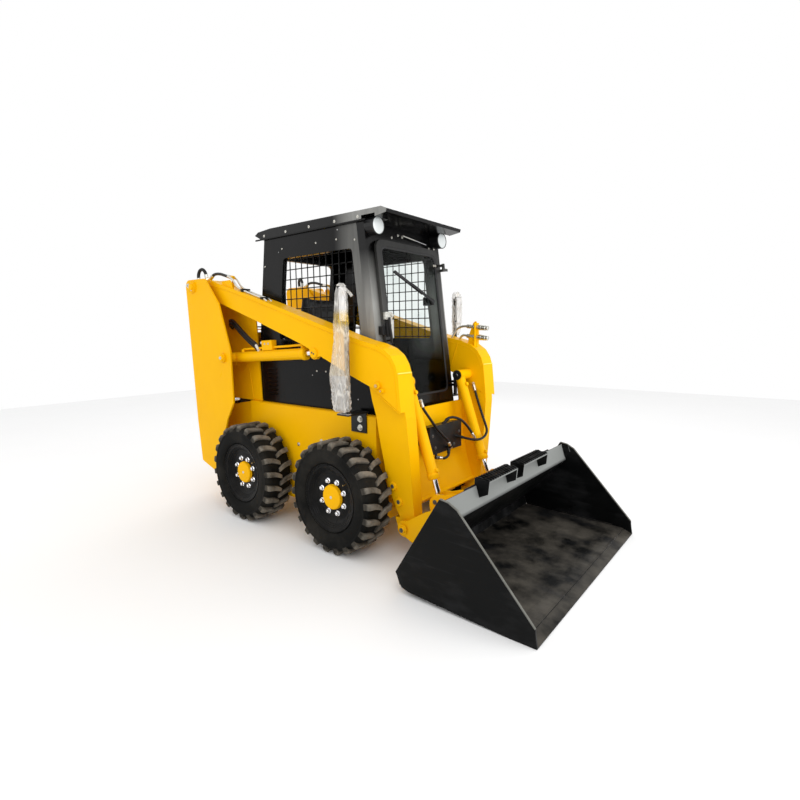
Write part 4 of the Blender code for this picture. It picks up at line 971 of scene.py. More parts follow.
def fastener_tree() -> Tree:
    """Build the tree that puts a washer, a hexagon and a domed end on each point.

    Returns:
        The tree.
    """
    flow = Flow("fasteners", {"Head Radius": 0.01, "Head Height": 0.008, "Washer Radius": 0.014,
                              "Stud Radius": 0.006})
    height, stud = flow.given["Head Height"], flow.given["Stud Radius"]
    washer = flow.node("MeshCylinder", {"Vertices": 20, "Radius": flow.given["Washer Radius"],
                                        "Depth": 0.003})
    head = flow.node("MeshCylinder", {"Vertices": 6, "Radius": flow.given["Head Radius"], "Depth": height})
    dome = flow.node("MeshCone", {"Vertices": 12, "Radius Bottom": stud,
                                  "Radius Top": flow.sum("MULTIPLY", stud, 0.6), "Depth": 0.004})
    parts = [washer["Mesh"], flow.raised(head["Mesh"], flow.sum("MULTIPLY", height, 0.5)),
             flow.raised(dome["Mesh"], height)]
    bolt = flow.node("JoinGeometry", {0: parts})[0]
    facing = flow.node("InputNamedAttribute", {"Name": "facing"}, data_type="FLOAT_VECTOR")[0]
    turn = flow.node("FunctionNodeAlignRotationToVector", {"Vector": facing}, axis="Z")[0]
    return flow.close(flow.spread(flow.given["Geometry"], bolt, turn))


def wheel_tree() -> Tree:
    """Build the tree that repeats the seed evenly about the axle, which points along y.

    Returns:
        The tree.
    """
    flow = Flow("around_axle", {"Count": 22, "Phase": 0.0, "Centre": (0.0, 0.0, 0.0)})
    line = flow.node("MeshLine", {"Count": flow.given["Count"], "Offset": (0.0, 0.0, 0.0)})[0]
    step = flow.sum("DIVIDE", math.tau, flow.given["Count"])
    angle = flow.sum("MULTIPLY_ADD", flow.node("InputIndex", {})[0], step, flow.given["Phase"])
    spin = flow.node("ShaderNodeCombineXYZ", {1: angle})[0]
    around = flow.spread(line, flow.given["Geometry"], flow.node("FunctionNodeEulerToRotation", {0: spin})[0])
    return flow.close(flow.node("Transform", {"Geometry": around, "Translation": flow.given["Centre"]})[0])


def row_tree() -> Tree:
    """Build the tree that repeats the seed in a row of equal steps.

    Returns:
        The tree.
    """
    flow = Flow("row", {"Count": 6, "Step": (0.1, 0.0, 0.0)})
    line = flow.node("MeshLine", {"Count": flow.given["Count"], "Offset": flow.given["Step"]})[0]
    return flow.close(flow.spread(line, flow.given["Geometry"]))


@dataclass
class Workshop:
    """The trees, built once and shared."""

    fasteners: Tree = field(default_factory=fastener_tree)
    around: Tree = field(default_factory=wheel_tree)
    line: Tree = field(default_factory=row_tree)

    def bolts(self, name: str, places: Spots, body: str, finish: Finish, radius: float, height: float,
              washer: float) -> Piece:
        """Put a hexagon head with its washer on each place.

        Args:
            name: The piece's name.
            places: Each head's foot and the way that it faces.
            body: The body that they ride on.
            finish: Their finish.
            radius: The head's radius.
            height: The head's height.
            washer: The washer's radius.

        Returns:
            The piece.
        """
        data = bpy.data.meshes.new("dots")
        data.from_pydata([tuple(place) for place, _ in places], [], [])
        facing = data.attributes.new("facing", "FLOAT_VECTOR", "POINT")
        facing.data.foreach_set("vector", [value for _, way in places for value in Vector(way).normalized()])
        sizes = {"Head Radius": radius, "Head Height": height, "Washer Radius": washer,
                 "Stud Radius": radius * 0.55}
        return grown(name, self.fasteners, data, sizes, finish, body)

    def row(self, name: str, shape: Shape, count: int, step: Point, finish: Finish,
            body: str) -> Piece:
        """Repeat a shape in a row.

        Args:
            name: The piece's name.
            shape: The first one.
            count: How many there are.
            step: The step from one to the next.
            finish: Their finish.
            body: The body that they ride on.

        Returns:
            The piece.
        """
        return grown(name, self.line, shape.plain("seed"), {"Count": count, "Step": step}, finish, body)


# Hoses and pipes


@dataclass(frozen=True)
class Hose:
    """One hydraulic hose: its node, its route and its fittings' reach."""

    node: str
    body: str
    route: tuple[Point, ...]
    radius: float = 0.0085
    spacing: float = 0.02
    ferrule: float = 0.045
    plated: bool = True
    twin: float = 0.0

    def cover(self, line: list[Vector]) -> Piece:
        """Build the hose itself as a round curve.

        Args:
            line: Its route in the row frame.

        Returns:
            The piece.
        """
        curve = bpy.data.curves.new(self.node + "_cover", "CURVE")
        curve.dimensions = "3D"
        curve.bevel_depth = self.radius
        curve.bevel_resolution = 4
        curve.use_fill_caps = True
        spline = curve.splines.new("POLY")
        spline.points.add(len(line) - 1)
        for point, place in zip(spline.points, line):
            point.co = (*place, 1.0)
        curve.materials.append(HOSE.material())
        piece = linked(bpy.data.objects.new(self.node + "_cover", curve))
        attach(piece, self.body)
        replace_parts(piece, self.node)
        return piece

    def fitting(self, near: Vector, far: Vector) -> Shape:
        """Build the crimped ferrule and the nut at one end.

        Args:
            near: The hose's end.
            far: A point further along it.

        Returns:
            The shape.
        """
        way = tuple((far - near).normalized())
        crimps = [(-0.006, 0.8), (-0.006, 1.18), (0.004, 1.28), (0.01, 1.18), (0.014, 1.28), (0.02, 1.18),
                  (0.024, 1.28), (self.ferrule - 0.008, 1.18), (self.ferrule - 0.006, 1.02)]
        nut = [(-0.022, 1.0), (-0.022, 1.3), (-0.009, 1.3), (-0.009, 1.0)]
        ends = Shape()
        for profile, sides in ((crimps, 16), (nut, 6)):
            ends.turned([(distance, self.radius * swell) for distance, swell in profile], near, way, sides)
        return ends

    def build(self) -> None:
        line = smooth_line(along(list(self.route)), self.spacing)
        piece = self.cover(line)
        finished = [
            self.fitting(line[0], line[2]).piece(f"{self.node}_fitting_1", ZINC if self.plated else PLASTIC,
                                                 self.body),
            self.fitting(line[-1], line[-3]).piece(f"{self.node}_fitting_2", ZINC, self.body),
        ]
        if self.twin:
            beside = Shape().tube([place + Vector((0, 0, self.twin)) for place in line], self.radius)
            finished.append(beside.piece(self.node + "_twin", HOSE, self.body))


def paired(place: str, body: str, route: tuple[Point, ...], **sizes: float) -> list[Hose]:
    """Return the same hose on both sides; an empty place in the body's name takes the side."""
    return [Hose(f"hose_{place}_{name}", body.format(name), tuple((x, side * y, z) for x, y, z in route),
                 **sizes) for side, name in SIDES]


HOSES = [
    Hose("hose_tilt_near", "lift_arms", (
        (0.846, -0.232, 0.9), (0.85, -0.218, 0.862), (0.86, -0.178, 0.809), (0.868, -0.12, 0.742),
        (0.876, -0.059, 0.682), (0.884, 0.004, 0.626), (0.886, 0.015, 0.6)), ferrule=0.034),
    Hose("hose_tilt_loop", "lift_arms", (
        (0.842, 0.022, 0.746), (0.847, 0.03, 0.763), (0.867, 0.054, 0.775), (0.888, 0.08, 0.771),
        (0.905, 0.11, 0.756), (0.916, 0.142, 0.73), (0.923, 0.178, 0.695), (0.93, 0.208, 0.657),
        (0.937, 0.228, 0.622)), plated=False),
    Hose("hose_tilt_far", "lift_arms", (
        (0.8625, 0.139, 0.636), (0.905, 0.152, 0.629), (0.945, 0.166, 0.622), (0.978, 0.188, 0.618),
        (0.99, 0.23, 0.619), (0.989, 0.282, 0.63), (0.98, 0.324, 0.656), (0.958, 0.345, 0.691),
        (0.929, 0.354, 0.748), (0.896, 0.366, 0.815), (0.862, 0.378, 0.891), (0.838, 0.388, 0.951)),
        plated=False),
    Hose("hose_tilt_elbow", "lift_arms", (
        (0.876, 0.016, 0.572), (0.886, 0.0, 0.543), (0.885, -0.038, 0.528), (0.866, -0.08, 0.536)),
        ferrule=0.024, plated=False),
    *paired("lift", "lift_{}_barrel", (
        (-0.85, 0.4033, 1.392), (-0.832, 0.43, 1.408), (-0.785, 0.46, 1.424), (-0.724, 0.47, 1.412),
        (-0.627, 0.47, 1.345), (-0.54, 0.47, 1.29), (-0.478, 0.47, 1.258), (-0.444, 0.47, 1.236),
        (-0.428, 0.47, 1.214)), radius=0.0125, twin=-0.024),
    *paired("tower", "lift_arms", (
        (-1.13, 0.5, 1.736), (-1.142, 0.498, 1.78), (-1.132, 0.492, 1.816), (-1.105, 0.484, 1.828),
        (-1.078, 0.478, 1.806), (-1.062, 0.474, 1.762)), radius=0.0125, spacing=0.014, ferrule=0.03),
    *paired("arm", "lift_arms", (
        (-1.01, 0.47, 1.752), (-0.96, 0.47, 1.778), (-0.88, 0.47, 1.776), (-0.8, 0.47, 1.756),
        (-0.735, 0.47, 1.742)), radius=0.011),
]


@dataclass
class Assembly:
    """A sub-assembly, which is built with the shared trees."""

    shop: Workshop


# Wheels


class Row(Enum):
    """The two rows of lugs on a tyre."""

    OUTER = "outer"
    INNER = "inner"


@dataclass
class Wheel(Assembly):
    """One wheel: carcass, lugs, rim, hub cap and nuts."""

    place: str
    side: int
    side_name: str
    phase: float
    lugs: int = 22
    radius: float = 0.343
    width: float = 0.215
    nut_circle: float = 0.1016
    nuts: int = 8
    nut_face: float = 0.1632

    def __post_init__(self) -> None:
        """Work out the wheel's names, its outward way and the middle of its tyre's inner face."""
        self.name = f"{self.place}_{self.side_name}"
        self.body = f"wheel_{self.name}"
        self.way = (0, self.side, 0)
        low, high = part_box(f"tyre_{self.name}")
        self.base = Vector(((low.x + high.x) / 2, self.side * min(abs(low.y), abs(high.y)), AXLE_Z))

    def carcass(self) -> None:
        """Build the tyre body with its sidewall steps and bead."""
        half = [(0.027, 0.1915), (0.0268, 0.2085), (0.019, 0.2115), (0.0125, 0.215), (0.008, 0.222),
                (0.0042, 0.233), (0.0018, 0.247), (0.001, 0.26), (0.0014, 0.274), (0.003, 0.286),
                (0.0026, 0.289), (0.001, 0.2925), (0.0012, 0.299), (0.0045, 0.3025), (0.0075, 0.3045),
                (0.012, 0.312), (0.02, 0.3185), (0.034, 0.3225), (0.06, 0.325), (0.085, 0.3258)]
        far = [(self.width - distance, radius) for distance, radius in reversed(half)]
        shape = Shape().turned(half + far, self.base, self.way, 96, closed=True)
        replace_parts(shape.piece(f"tyre_{self.name}_carcass", TYRE, self.body, 50), f"tyre_{self.name}")

    def lug(self, row: Row) -> Mesh:
        """Build one lug about the axle: a bar that leans ahead towards the middle and wraps the shoulder.

        Args:
            row: The row that it stands in.

        Returns:
            The mesh, with its worn attribute.
        """
        stations = [
            # distance in from the shoulder, shift ahead, half width, top radius, foot radius
            (0.0012, 0.0, 0.0175, 0.301, 0.296), (0.002, 0.0, 0.018, 0.32, 0.296),
            (0.006, 0.0, 0.018, 0.333, 0.3), (0.015, 0.001, 0.0175, 0.3415, 0.308),
            (0.032, 0.003, 0.0165, 0.3428, 0.318), (0.06, 0.008, 0.016, 0.343, 0.321),
            (0.085, 0.017, 0.0155, 0.343, 0.322), (0.108, 0.03, 0.013, 0.3428, 0.322),
            (0.115, 0.034, 0.012, 0.34, 0.322),
        ]
        rings, worn = [], []
        for inward, shift, half, top, foot in stations:
            distance = self.width - inward if row is Row.OUTER else inward
            ring = []
            for offset, radius in ((-half - 0.003, foot), (-half, top - 0.002), (-half + 0.002, top),
                                   (half - 0.002, top), (half, top - 0.002), (half + 0.003, foot)):
                angle = (shift + offset) / self.radius
                ring.append(Vector((radius * math.sin(angle), self.side * distance,
                                    radius * math.cos(angle))))
                worn.append(1.0 if radius > foot + 0.004 and top > 0.33 else 0.25)
            rings.append(ring)
        data = Shape().loft(rings).plain("lug")
        data.attributes.new("worn", "FLOAT", "POINT").data.foreach_set("value", worn)
        return data

    def tread(self) -> None:
        """Repeat the lugs in two staggered rows."""
        for row, lead in ((Row.OUTER, 0.0), (Row.INNER, math.pi / self.lugs)):
            sizes = {"Count": self.lugs, "Phase": self.phase + lead, "Centre": tuple(self.base)}
            name = f"tyre_{self.name}_lugs_{row.value}"
            grown(name, self.shop.around, self.lug(row), sizes, TYRE, self.body, 40)

    def rim(self) -> None:
        """Build the dished rim with its stepped well."""
        profile = [(0.1585, 0.06), (0.1595, 0.078), (0.1622, 0.088), (0.163, 0.108), (0.162, 0.126),
                   (0.1585, 0.138), (0.16, 0.148), (0.1655, 0.156), (0.169, 0.1625), (0.1745, 0.166),
                   (0.1765, 0.171), (0.182, 0.1745), (0.184, 0.18), (0.19, 0.184), (0.1925, 0.19),
                   (0.193, 0.196), (0.196, 0.1995), (0.199, 0.201), (0.2, 0.204), (0.1985, 0.207),
                   (0.1945, 0.2074), (0.1915, 0.2045), (0.1895, 0.1985), (0.188, 0.1905), (0.15, 0.1895),
                   (0.06, 0.188), (0.027, 0.1905), (0.025, 0.199), (0.0225, 0.207), (0.017, 0.207),
                   (0.016, 0.204), (0.0205, 0.196), (0.0225, 0.185), (0.06, 0.181), (0.13, 0.181),
                   (0.148, 0.172), (0.15, 0.15), (0.153, 0.12), (0.153, 0.06)]
        shape = Shape().turned(profile, self.base, self.way, 72)
        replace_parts(shape.piece(f"rim_{self.name}_dish", RIM_GLOSS, self.body, 28), f"rim_{self.name}")

    def hub(self) -> None:
        """Build the painted hub cap, its plug and the valve stem."""
        cap = [(0.157, 0.07), (0.159, 0.0765), (0.165, 0.0765), (0.166, 0.0745), (0.176, 0.074),
               (0.1795, 0.0715), (0.1808, 0.066), (0.1812, 0.02)]
        Shape().turned(cap, self.base, self.way, 48).piece(f"hub_cap_{self.name}", YELLOW, self.body, 28)
        plug = [(0.181, 0.01), (0.183, 0.01), (0.1845, 0.008)]
        Shape().turned(plug, self.base, self.way, 6).piece(f"hub_plug_{self.name}", ZINC, self.body)
        foot = self.around(0.158, self.phase + 0.6, 0.166)
        tip = foot + self.around(-0.008, self.phase + 0.6, 0.026) - self.base
        Shape().rod(foot, tip, 0.0042, 12).piece(f"valve_{self.name}", BRASS, self.body)

    def around(self, radius: float, angle: float, out: float) -> Vector:
        """Return a place about the axle, counted outwards from the tyre's inner face."""
        return self.base + Vector((radius * math.cos(angle), self.side * out, radius * math.sin(angle)))

    def build(self) -> None:
        """Build the whole wheel in place of its CAD nodes."""
        self.carcass()
        self.tread()
        self.rim()
        self.hub()
        circle = [(self.around(self.nut_circle, math.tau * (i + 0.5) / self.nuts, self.nut_face), self.way)
                  for i in range(self.nuts)]
        self.shop.bolts(f"wheel_nuts_{self.name}", circle, self.body, CHROME, 0.0125, 0.014, 0.0165)
        log.info("wheel %s: %d lugs a row", self.name, self.lugs)


# Cab


@dataclass
class Cab(Assembly):
    """The cab's guards, door trim, wiper, latch, lamps and roof fittings."""

    half_width: float = 0.38
    guard_bar: float = 0.0036
    uprights: int = 14
    rails: int = 9
    vents: int = 7

    def guards(self) -> None:
        """Build the welded bar guards in the side windows."""
        for side, name in SIDES:
            node = f"window_guard_{name}"
            low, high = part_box(node)
            y = (low.y + high.y) / 2
            inner = y - side * self.guard_bar * 1.6
            step = (high.x - low.x) / (self.uprights - 1) * 0.985
            pitch = (high.z - low.z - 0.024) / (self.rails - 1)
            upright = [Vector((low.x + 0.004, y, z)) for z in (low.z - 0.006, high.z + 0.006)]
            rail = [Vector((x, inner, low.z + 0.012)) for x in (low.x - 0.006, high.x + 0.006)]
            for kind, ends, count, way in (("uprights", upright, self.uprights, (step, 0.0, 0.0)),
                                           ("rails", rail, self.rails, (0.0, 0.0, pitch))):
                bar = Shape().rod(*ends, self.guard_bar, 8)
                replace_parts(self.shop.row(f"guard_{kind}_{name}", bar, count, way, GLOSS_BLACK, "machine"),
                            node)

    def pane_line(self, inwards: float, ahead: float) -> list[Vector]:
        """Draw the door pane's outline.

        Args:
            inwards: How far inside the pane's edge it is.
            ahead: How far ahead of the door's face it is.

        Returns:
            Its points.
        """
        half, low, high = 0.285 - inwards, 0.915 + inwards, 1.85 - inwards
        step, shoulder = -0.195 + inwards, inwards * 0.4
        shape = [(-half, high, 0.05), (-half, 1.17 + shoulder, 0.02), (step, 1.115 + shoulder, 0.02),
                 (step, low, 0.02), (half, low, 0.05), (half, high, 0.05)]
        return [at(door_face(z) + ahead, y, z) for y, z in rounded(shape)]

    def pane_seal(self) -> None:
        """Build the rubber seal round the door's pane."""
        line = self.pane_line(0.004, -0.0045)
        out = Vector(DOOR_OUT).normalized()
        rings = []
        for i, point in enumerate(line):
            heading = (line[(i + 1) % len(line)] - line[i - 1]).normalized()
            side = heading.cross(out).normalized()
            rings.append([point + side * 0.009 * u + out * 0.0035 * v
                          for u, v in ((-1, -0.6), (-1, 0.4), (-0.6, 1), (0.6, 1), (1, 0.4), (1, -0.6))])
        Shape().loft(rings, closed=True).piece("door_seal", SEAL, "cab_door", 50)

    def handle(self) -> None:
        """Build the door's handle, latch, lock and catch."""
        grip = Shape()
        posts = [at(door_face(z) + 0.002, -0.318, z) for z in (1.395, 1.275)]
        for post in posts:
            grip.rod(post, post + Vector((0.034, 0, 0.004)), 0.006)
        bends = (0, 0.034, 0.02), (0, 0.036, -0.02), (1, 0.036, 0.02), (1, 0.034, -0.012)
        bow = [posts[number] + Vector((out, 0, up)) for number, out, up in bends]
        grip.tube(smooth_line(bow, 0.01), 0.008).piece("door_handle", PLASTIC, "cab_door")
        lock = Shape()
        face = door_face(1.335)
        lock.box((face - 0.002, face + 0.016), (-0.318, -0.28), (1.3, 1.372), 0.003)
        lock.rod(*(at(door_face(1.33) + out, -0.299, 1.345) for out in (0.014, 0.021)), 0.01, 20)
        lock.piece("door_latch", PLASTIC, "cab_door")
        catch = Shape().box((face - 0.03, face + 0.006), (-0.352, -0.331), (1.31, 1.362), 0.003)
        face = door_face(1.42)
        case = Shape()
        case.box((face - 0.004, face + 0.02), (-0.328, -0.264), (1.4, 1.448), 0.004)
        case.box((face + 0.016, face + 0.026), (-0.32, -0.288), (1.408, 1.44), 0.003)
        case.rod(at(face + 0.018, -0.275, 1.428), at(face + 0.03, -0.275, 1.428), 0.011, 20)
        case.box((face - 0.004, face + 0.012), (-0.268, -0.242), (1.29, 1.402), 0.003)
        case.piece("door_lock_case", ZINC, "cab_door")
        barrel = Shape()
        barrel.rod(at(face + 0.018, -0.303, 1.3), at(face + 0.012, -0.303, 1.388), 0.02, 24)
        barrel.rod(at(face + 0.017, -0.303, 1.312), at(face + 0.0165, -0.303, 1.32), 0.0215, 24)
        barrel.piece("door_lock_barrel", PLASTIC, "cab_door")
        catch.piece("door_catch", PLASTIC)

    def strut(self) -> None:
        """Build the door's hinge bolts and the light strut over it."""
        spots = [(at(door_face(1.778) + 0.0005, y, 1.78), DOOR_OUT) for y in (0.257, 0.277)]
        self.shop.bolts("door_hinge_bolts", spots, "cab_door", ZINC, 0.006, 0.004, 0.008)
        start, end = at(0.558, -0.04, 1.944), at(0.561, 0.21, 1.918)
        halfway = start.lerp(end, 0.5)
        Shape().rod(start, halfway, 0.0042).piece("door_strut_tube", ZINC)
        Shape().rod(halfway, end, 0.0026).piece("door_strut_rod", CHROME)
        spots = [(at(cab_front(z) + 0.001, y, z), DOOR_OUT)
                 for y, z in ((-0.134, 1.921), (-0.068, 1.944), (-0.027, 1.938), (0.262, 1.901),
                              (0.323, 1.906), (0.286, 1.88))]
        self.shop.bolts("door_strut_bolts", spots, "machine", ZINC, 0.0065, 0.005, 0.009)

    def wiper(self) -> None:
        """Build the wiper: motor cover, arm and blade on the pane."""
        pivot = at(door_face(1.528) + 0.01, 0.192, 1.528)
        tip = at(door_face(1.7) + 0.006, -0.185, 1.7)
        across = Vector(DOOR_OUT).normalized().cross(tip - pivot).normalized()
        arm = Shape().turned([(0, 0.022), (0.012, 0.022), (0.018, 0.015)], pivot - Vector((0.014, 0, 0)),
                             DOOR_OUT, 20)
        bend = [pivot.lerp(tip, share) + Vector((lift, 0, 0))
                for share, lift in ((0, 0.004), (0.45, 0.01), (0.62, 0.006))]
        arm.band(smooth_line(bend, 0.02), across, 0.019, 0.006).piece("wiper_arm", PLASTIC, "cab_door")
        blade = Shape()
        start = pivot.lerp(tip, 0.3)
        for lift, width in ((0.001, 0.018), (-0.005, 0.008)):
            line = [start.lerp(tip, t) + Vector((lift, 0, 0)) for t in (0, 0.25, 0.5, 0.75, 1)]
            blade.band(line, across, width, 0.01)
        blade.piece("wiper_blade", SEAL, "cab_door")
        motor = Shape().box((0.56, 0.596), (0.162, 0.222), (1.505, 1.56), 0.008)
        motor.piece("wiper_motor", PLASTIC, "cab_door")

    def lamps(self) -> None:
        """Build a housing rim and a fluted lens on each work light."""
        ring = [(0.0, 0.053), (0.006, 0.054), (0.011, 0.053), (0.012, 0.05), (0.009, 0.0485),
                (0.0, 0.0485)]
        glass = [(0.002, 0.049), (0.009, 0.0488), (0.0115, 0.042), (0.013, 0.03), (0.0138, 0.015)]
        for _, name in SIDES:
            node = f"work_light_{name}"
            coat(PLASTIC, node)
            low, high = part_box(node)
            centre = Vector((high.x - 0.006, (low.y + high.y) / 2, (low.z + high.z) / 2))
            bezel = Shape().turned(ring, centre, (1, 0, 0), 48, closed=True)
            bezel.piece(f"lamp_rim_{name}", SEAL)
            Shape().turned(glass, centre, (1, 0, 0), 48).piece(f"lamp_lens_{name}", LAMP)

    def louvres(self) -> None:
        """Build a pressed hood over each vent slot in the cab's sides."""
        for side, name in SIDES:
            outline = [(side * (self.half_width + out), z) for out, z in
                       ((-0.001, 0.892), (0.0075, 0.884), (0.0085, 0.886), (-0.001, 0.897))]
            hood = Shape().prism(outline, -0.452, -0.346, Axis.X)
            self.shop.row(f"vent_hoods_{name}", hood, self.vents, (0.0, 0.0, 0.03), GLOSS_BLACK, "machine")

    def roof(self) -> None:
        """Build the roof's drip rails and the bolts of the roof and sides."""
        rail = Shape()
        for side, _ in SIDES:
            line = along([(x, side * 0.3905, 1.99) for x in (-0.525, -0.1, 0.3, 0.56)])
            rail.band(line, Vector((0, 0, 1)), 0.01, 0.006)
        rail.piece("roof_drip_rails", GLOSS_BLACK)
        spots = both_sides(0.3925, [(x, 2.012) for x in (-0.42, -0.18, 0.06, 0.3, 0.5)])
        self.shop.bolts("roof_bolts", spots, "machine", ZINC, 0.006, 0.004, 0.009)
        spots = both_sides(0.3805, [(0.085, 1.072), (0.173, 1.072), (0.46, 1.885), (0.3, 1.905),
                                    (0.11, 1.905), (-0.24, 1.905), (-0.44, 1.8), (-0.47, 1.45)])
        self.shop.bolts("cab_side_bolts", spots, "machine", ZINC, 0.0042, 0.003, 0.006)

    def build(self) -> None:
        """Dress the cab."""
        # These coats carry a painted pale reflection on the front frame, sides, roof and door.
        coat(PILLAR_BLACK, "cab_front_frame")
        coat(POST_BLACK, "cab_side_left", "cab_side_right")
        coat(ROOF_BLACK, "cab_roof")
        coat(DOOR_BLACK, "cab_door")
        coat(GLOSS_BLACK, "cab_rear")
        coat(GLASS, "door_glass")
        self.guards()
        self.pane_seal()
        self.handle()
        self.strut()
        self.wiper()
        self.lamps()
        self.louvres()
        self.roof()
        log.info("cab: %d by %d bars in each guard", self.uprights, self.rails)


def both_sides(out: float, places: Outline) -> Spots:
    """Return (x, z) places on both sides, at a distance from the middle, facing outwards."""
    return [(at(x, side * out, z), (0, side, 0)) for side, _ in SIDES for x, z in places]


# Seat and controls


@dataclass
class Interior:
    """The sprung seat, the lap bar's pad and the levers' grips."""

    voxel: float = 0.006
    cap: float = 0.016
    pressure: float = 4.0
    margin: float = 0.01
    levels: int = 6
    panel: float = 0.135
    groove: float = 0.009
    groove_width: float = 0.01

    def block(self, node: str, lean: float) -> Shape:
        """Build a pad's plain body in a seat node's place.

        Args:
            node: The seat node.
            lean: How far back its top leans.

        Returns:
            The shape.
        """
        low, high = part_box(node)
        rings = []
        for i in range(self.levels + 1):
            t = i / self.levels
            edge = self.margin + (0.012 if i in (0, self.levels) else 0.0)
            z = low.z + self.margin + (high.z - low.z - 2 * self.margin) * t
            x0, x1 = low.x + edge + lean * t, high.x - edge + min(lean * t, 0)
            if node == "seat_back":
                x0, x1 = low.x + edge + 0.022 * (1 - t), high.x - edge + lean * t * 0.45
            y0, y1 = low.y + edge, high.y - edge
            outline = rounded([(x, y, 0.035) for x, y in ((x0, y0), (x1, y0), (x1, y1), (x0, y1))], 4)
            rings.append([Vector((u, v, z)) for u, v in outline])
        return Shape().loft(rings)

    def padded(self, node: str, lean: float) -> None:
        """Build one vinyl pad, swelled by simulation, with sewn channels.

        Args:
            node: The seat node that it replaces.
            lean: How far back its top leans.
        """
        name = node.replace("seat_", "seat_pad_")
        pad = linked(bpy.data.objects.new(name, self.block(node, lean).plain(name)))
        remesh = pad.modifiers.new("even", "REMESH")
        remesh.mode = "VOXEL"
        remesh.voxel_size = self.voxel
        settle(pad)
        self.swell(pad)
        self.channels(pad, node)
        smoother = pad.modifiers.new("smooth", "SUBSURF")
        smoother.levels = smoother.render_levels = 1
        settle(pad)
        dressed(pad, VINYL, "machine", 60)
        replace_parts(pad, node)

    def swell(self, pad: Piece) -> None:
        """Inflate a pad as cloth under pressure, no point moving further than the cap.

        Args:
            pad: The pad.
        """
        start = [vertex.co.copy() for vertex in pad.data.vertices]
        cloth = pad.modifiers.new("swell", "CLOTH")
        cloth.settings.use_pressure = True
        cloth.settings.uniform_pressure_force = self.pressure
        cloth.settings.effector_weights.gravity = 0
        scene = bpy.context.scene
        for number in range(1, 21):
            scene.frame_set(number)
        settle(pad)
        scene.frame_set(1)
        for vertex, place in zip(pad.data.vertices, start):
            moved = vertex.co - place
            if moved.length > self.cap:
                vertex.co = place + moved.normalized() * self.cap

    def channels(self, pad: Piece, node: str) -> None:
        """Press the sewn channels and the edge welt into the pad's face.

        Args:
            pad: The pad.
            node: The seat node that it replaces.
        """
        low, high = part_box(node)
        lines, axis, front = ((0.33, 0.66), 0, 2) if node == "seat_cushion" else ((0.3, 0.55, 0.78), 2, 0)
        length = high[axis] - low[axis]
        for vertex in pad.data.vertices:
            if vertex.normal[front] < 0.3:
                continue
            share = (vertex.co[axis] - low[axis]) / length
            out = abs(vertex.co.y)
            near = min(abs(share - line) for line in lines) * length if out < self.panel else 1.0
            near = min(near, abs(out - self.panel))
            vertex.co -= vertex.normal * self.groove * math.exp(-(near / self.groove_width) ** 2)
        pad.data.update()

    def levers(self) -> None:
        """Build the control levers' grips and boots."""
        profile = [(-0.055, 0.0195), (-0.05, 0.0215), (-0.035, 0.02), (-0.02, 0.022), (-0.004, 0.0205),
                   (0.01, 0.0225), (0.022, 0.0205), (0.028, 0.015)]
        folds = [(0.0, 0.046)]
        for i in range(6):
            folds += [(0.006 + i * 0.011, 0.044 - i * 0.0045), (0.011 + i * 0.011, 0.037 - i * 0.0045)]
        folds.append((0.08, 0.0135))
        grips, boots = Shape(), Shape()
        for side, _ in SIDES:
            top = at(0.304, side * 0.2, 1.14)
            way = (top - at(0.32, side * 0.22, 1.02)).normalized()
            grips.turned(profile, top - way * 0.03, tuple(way))
            boots.turned(folds, at(0.33, side * 0.22, 0.6125), (0, 0, 1), 28)
        grips.piece("lever_grips", SEAL)
        boots.piece("lever_boots", SEAL, "machine", 60)

    def build(self) -> None:
        """Dress the cab's inside."""
        coat(GLOSS_BLACK, "cab_floor")
        coat(PLASTIC, "control_lever_left", "control_lever_right", "lap_bar")
        self.padded("seat_cushion", 0.0)
        self.padded("seat_back", -0.04)
        self.levers()
        low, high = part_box("lap_bar")
        x, z = high.x - 0.013, (low.z + high.z) / 2
        sleeve = Shape().rod(Vector((x, -0.245, z)), Vector((x, 0.245, z)), 0.024, 24, 0.008)
        sleeve.piece("lap_bar_sleeve", SEAL, "lap_bar")
        log.info("interior: pads at %.0f mm voxels", self.voxel * 1000)


# Lift arms


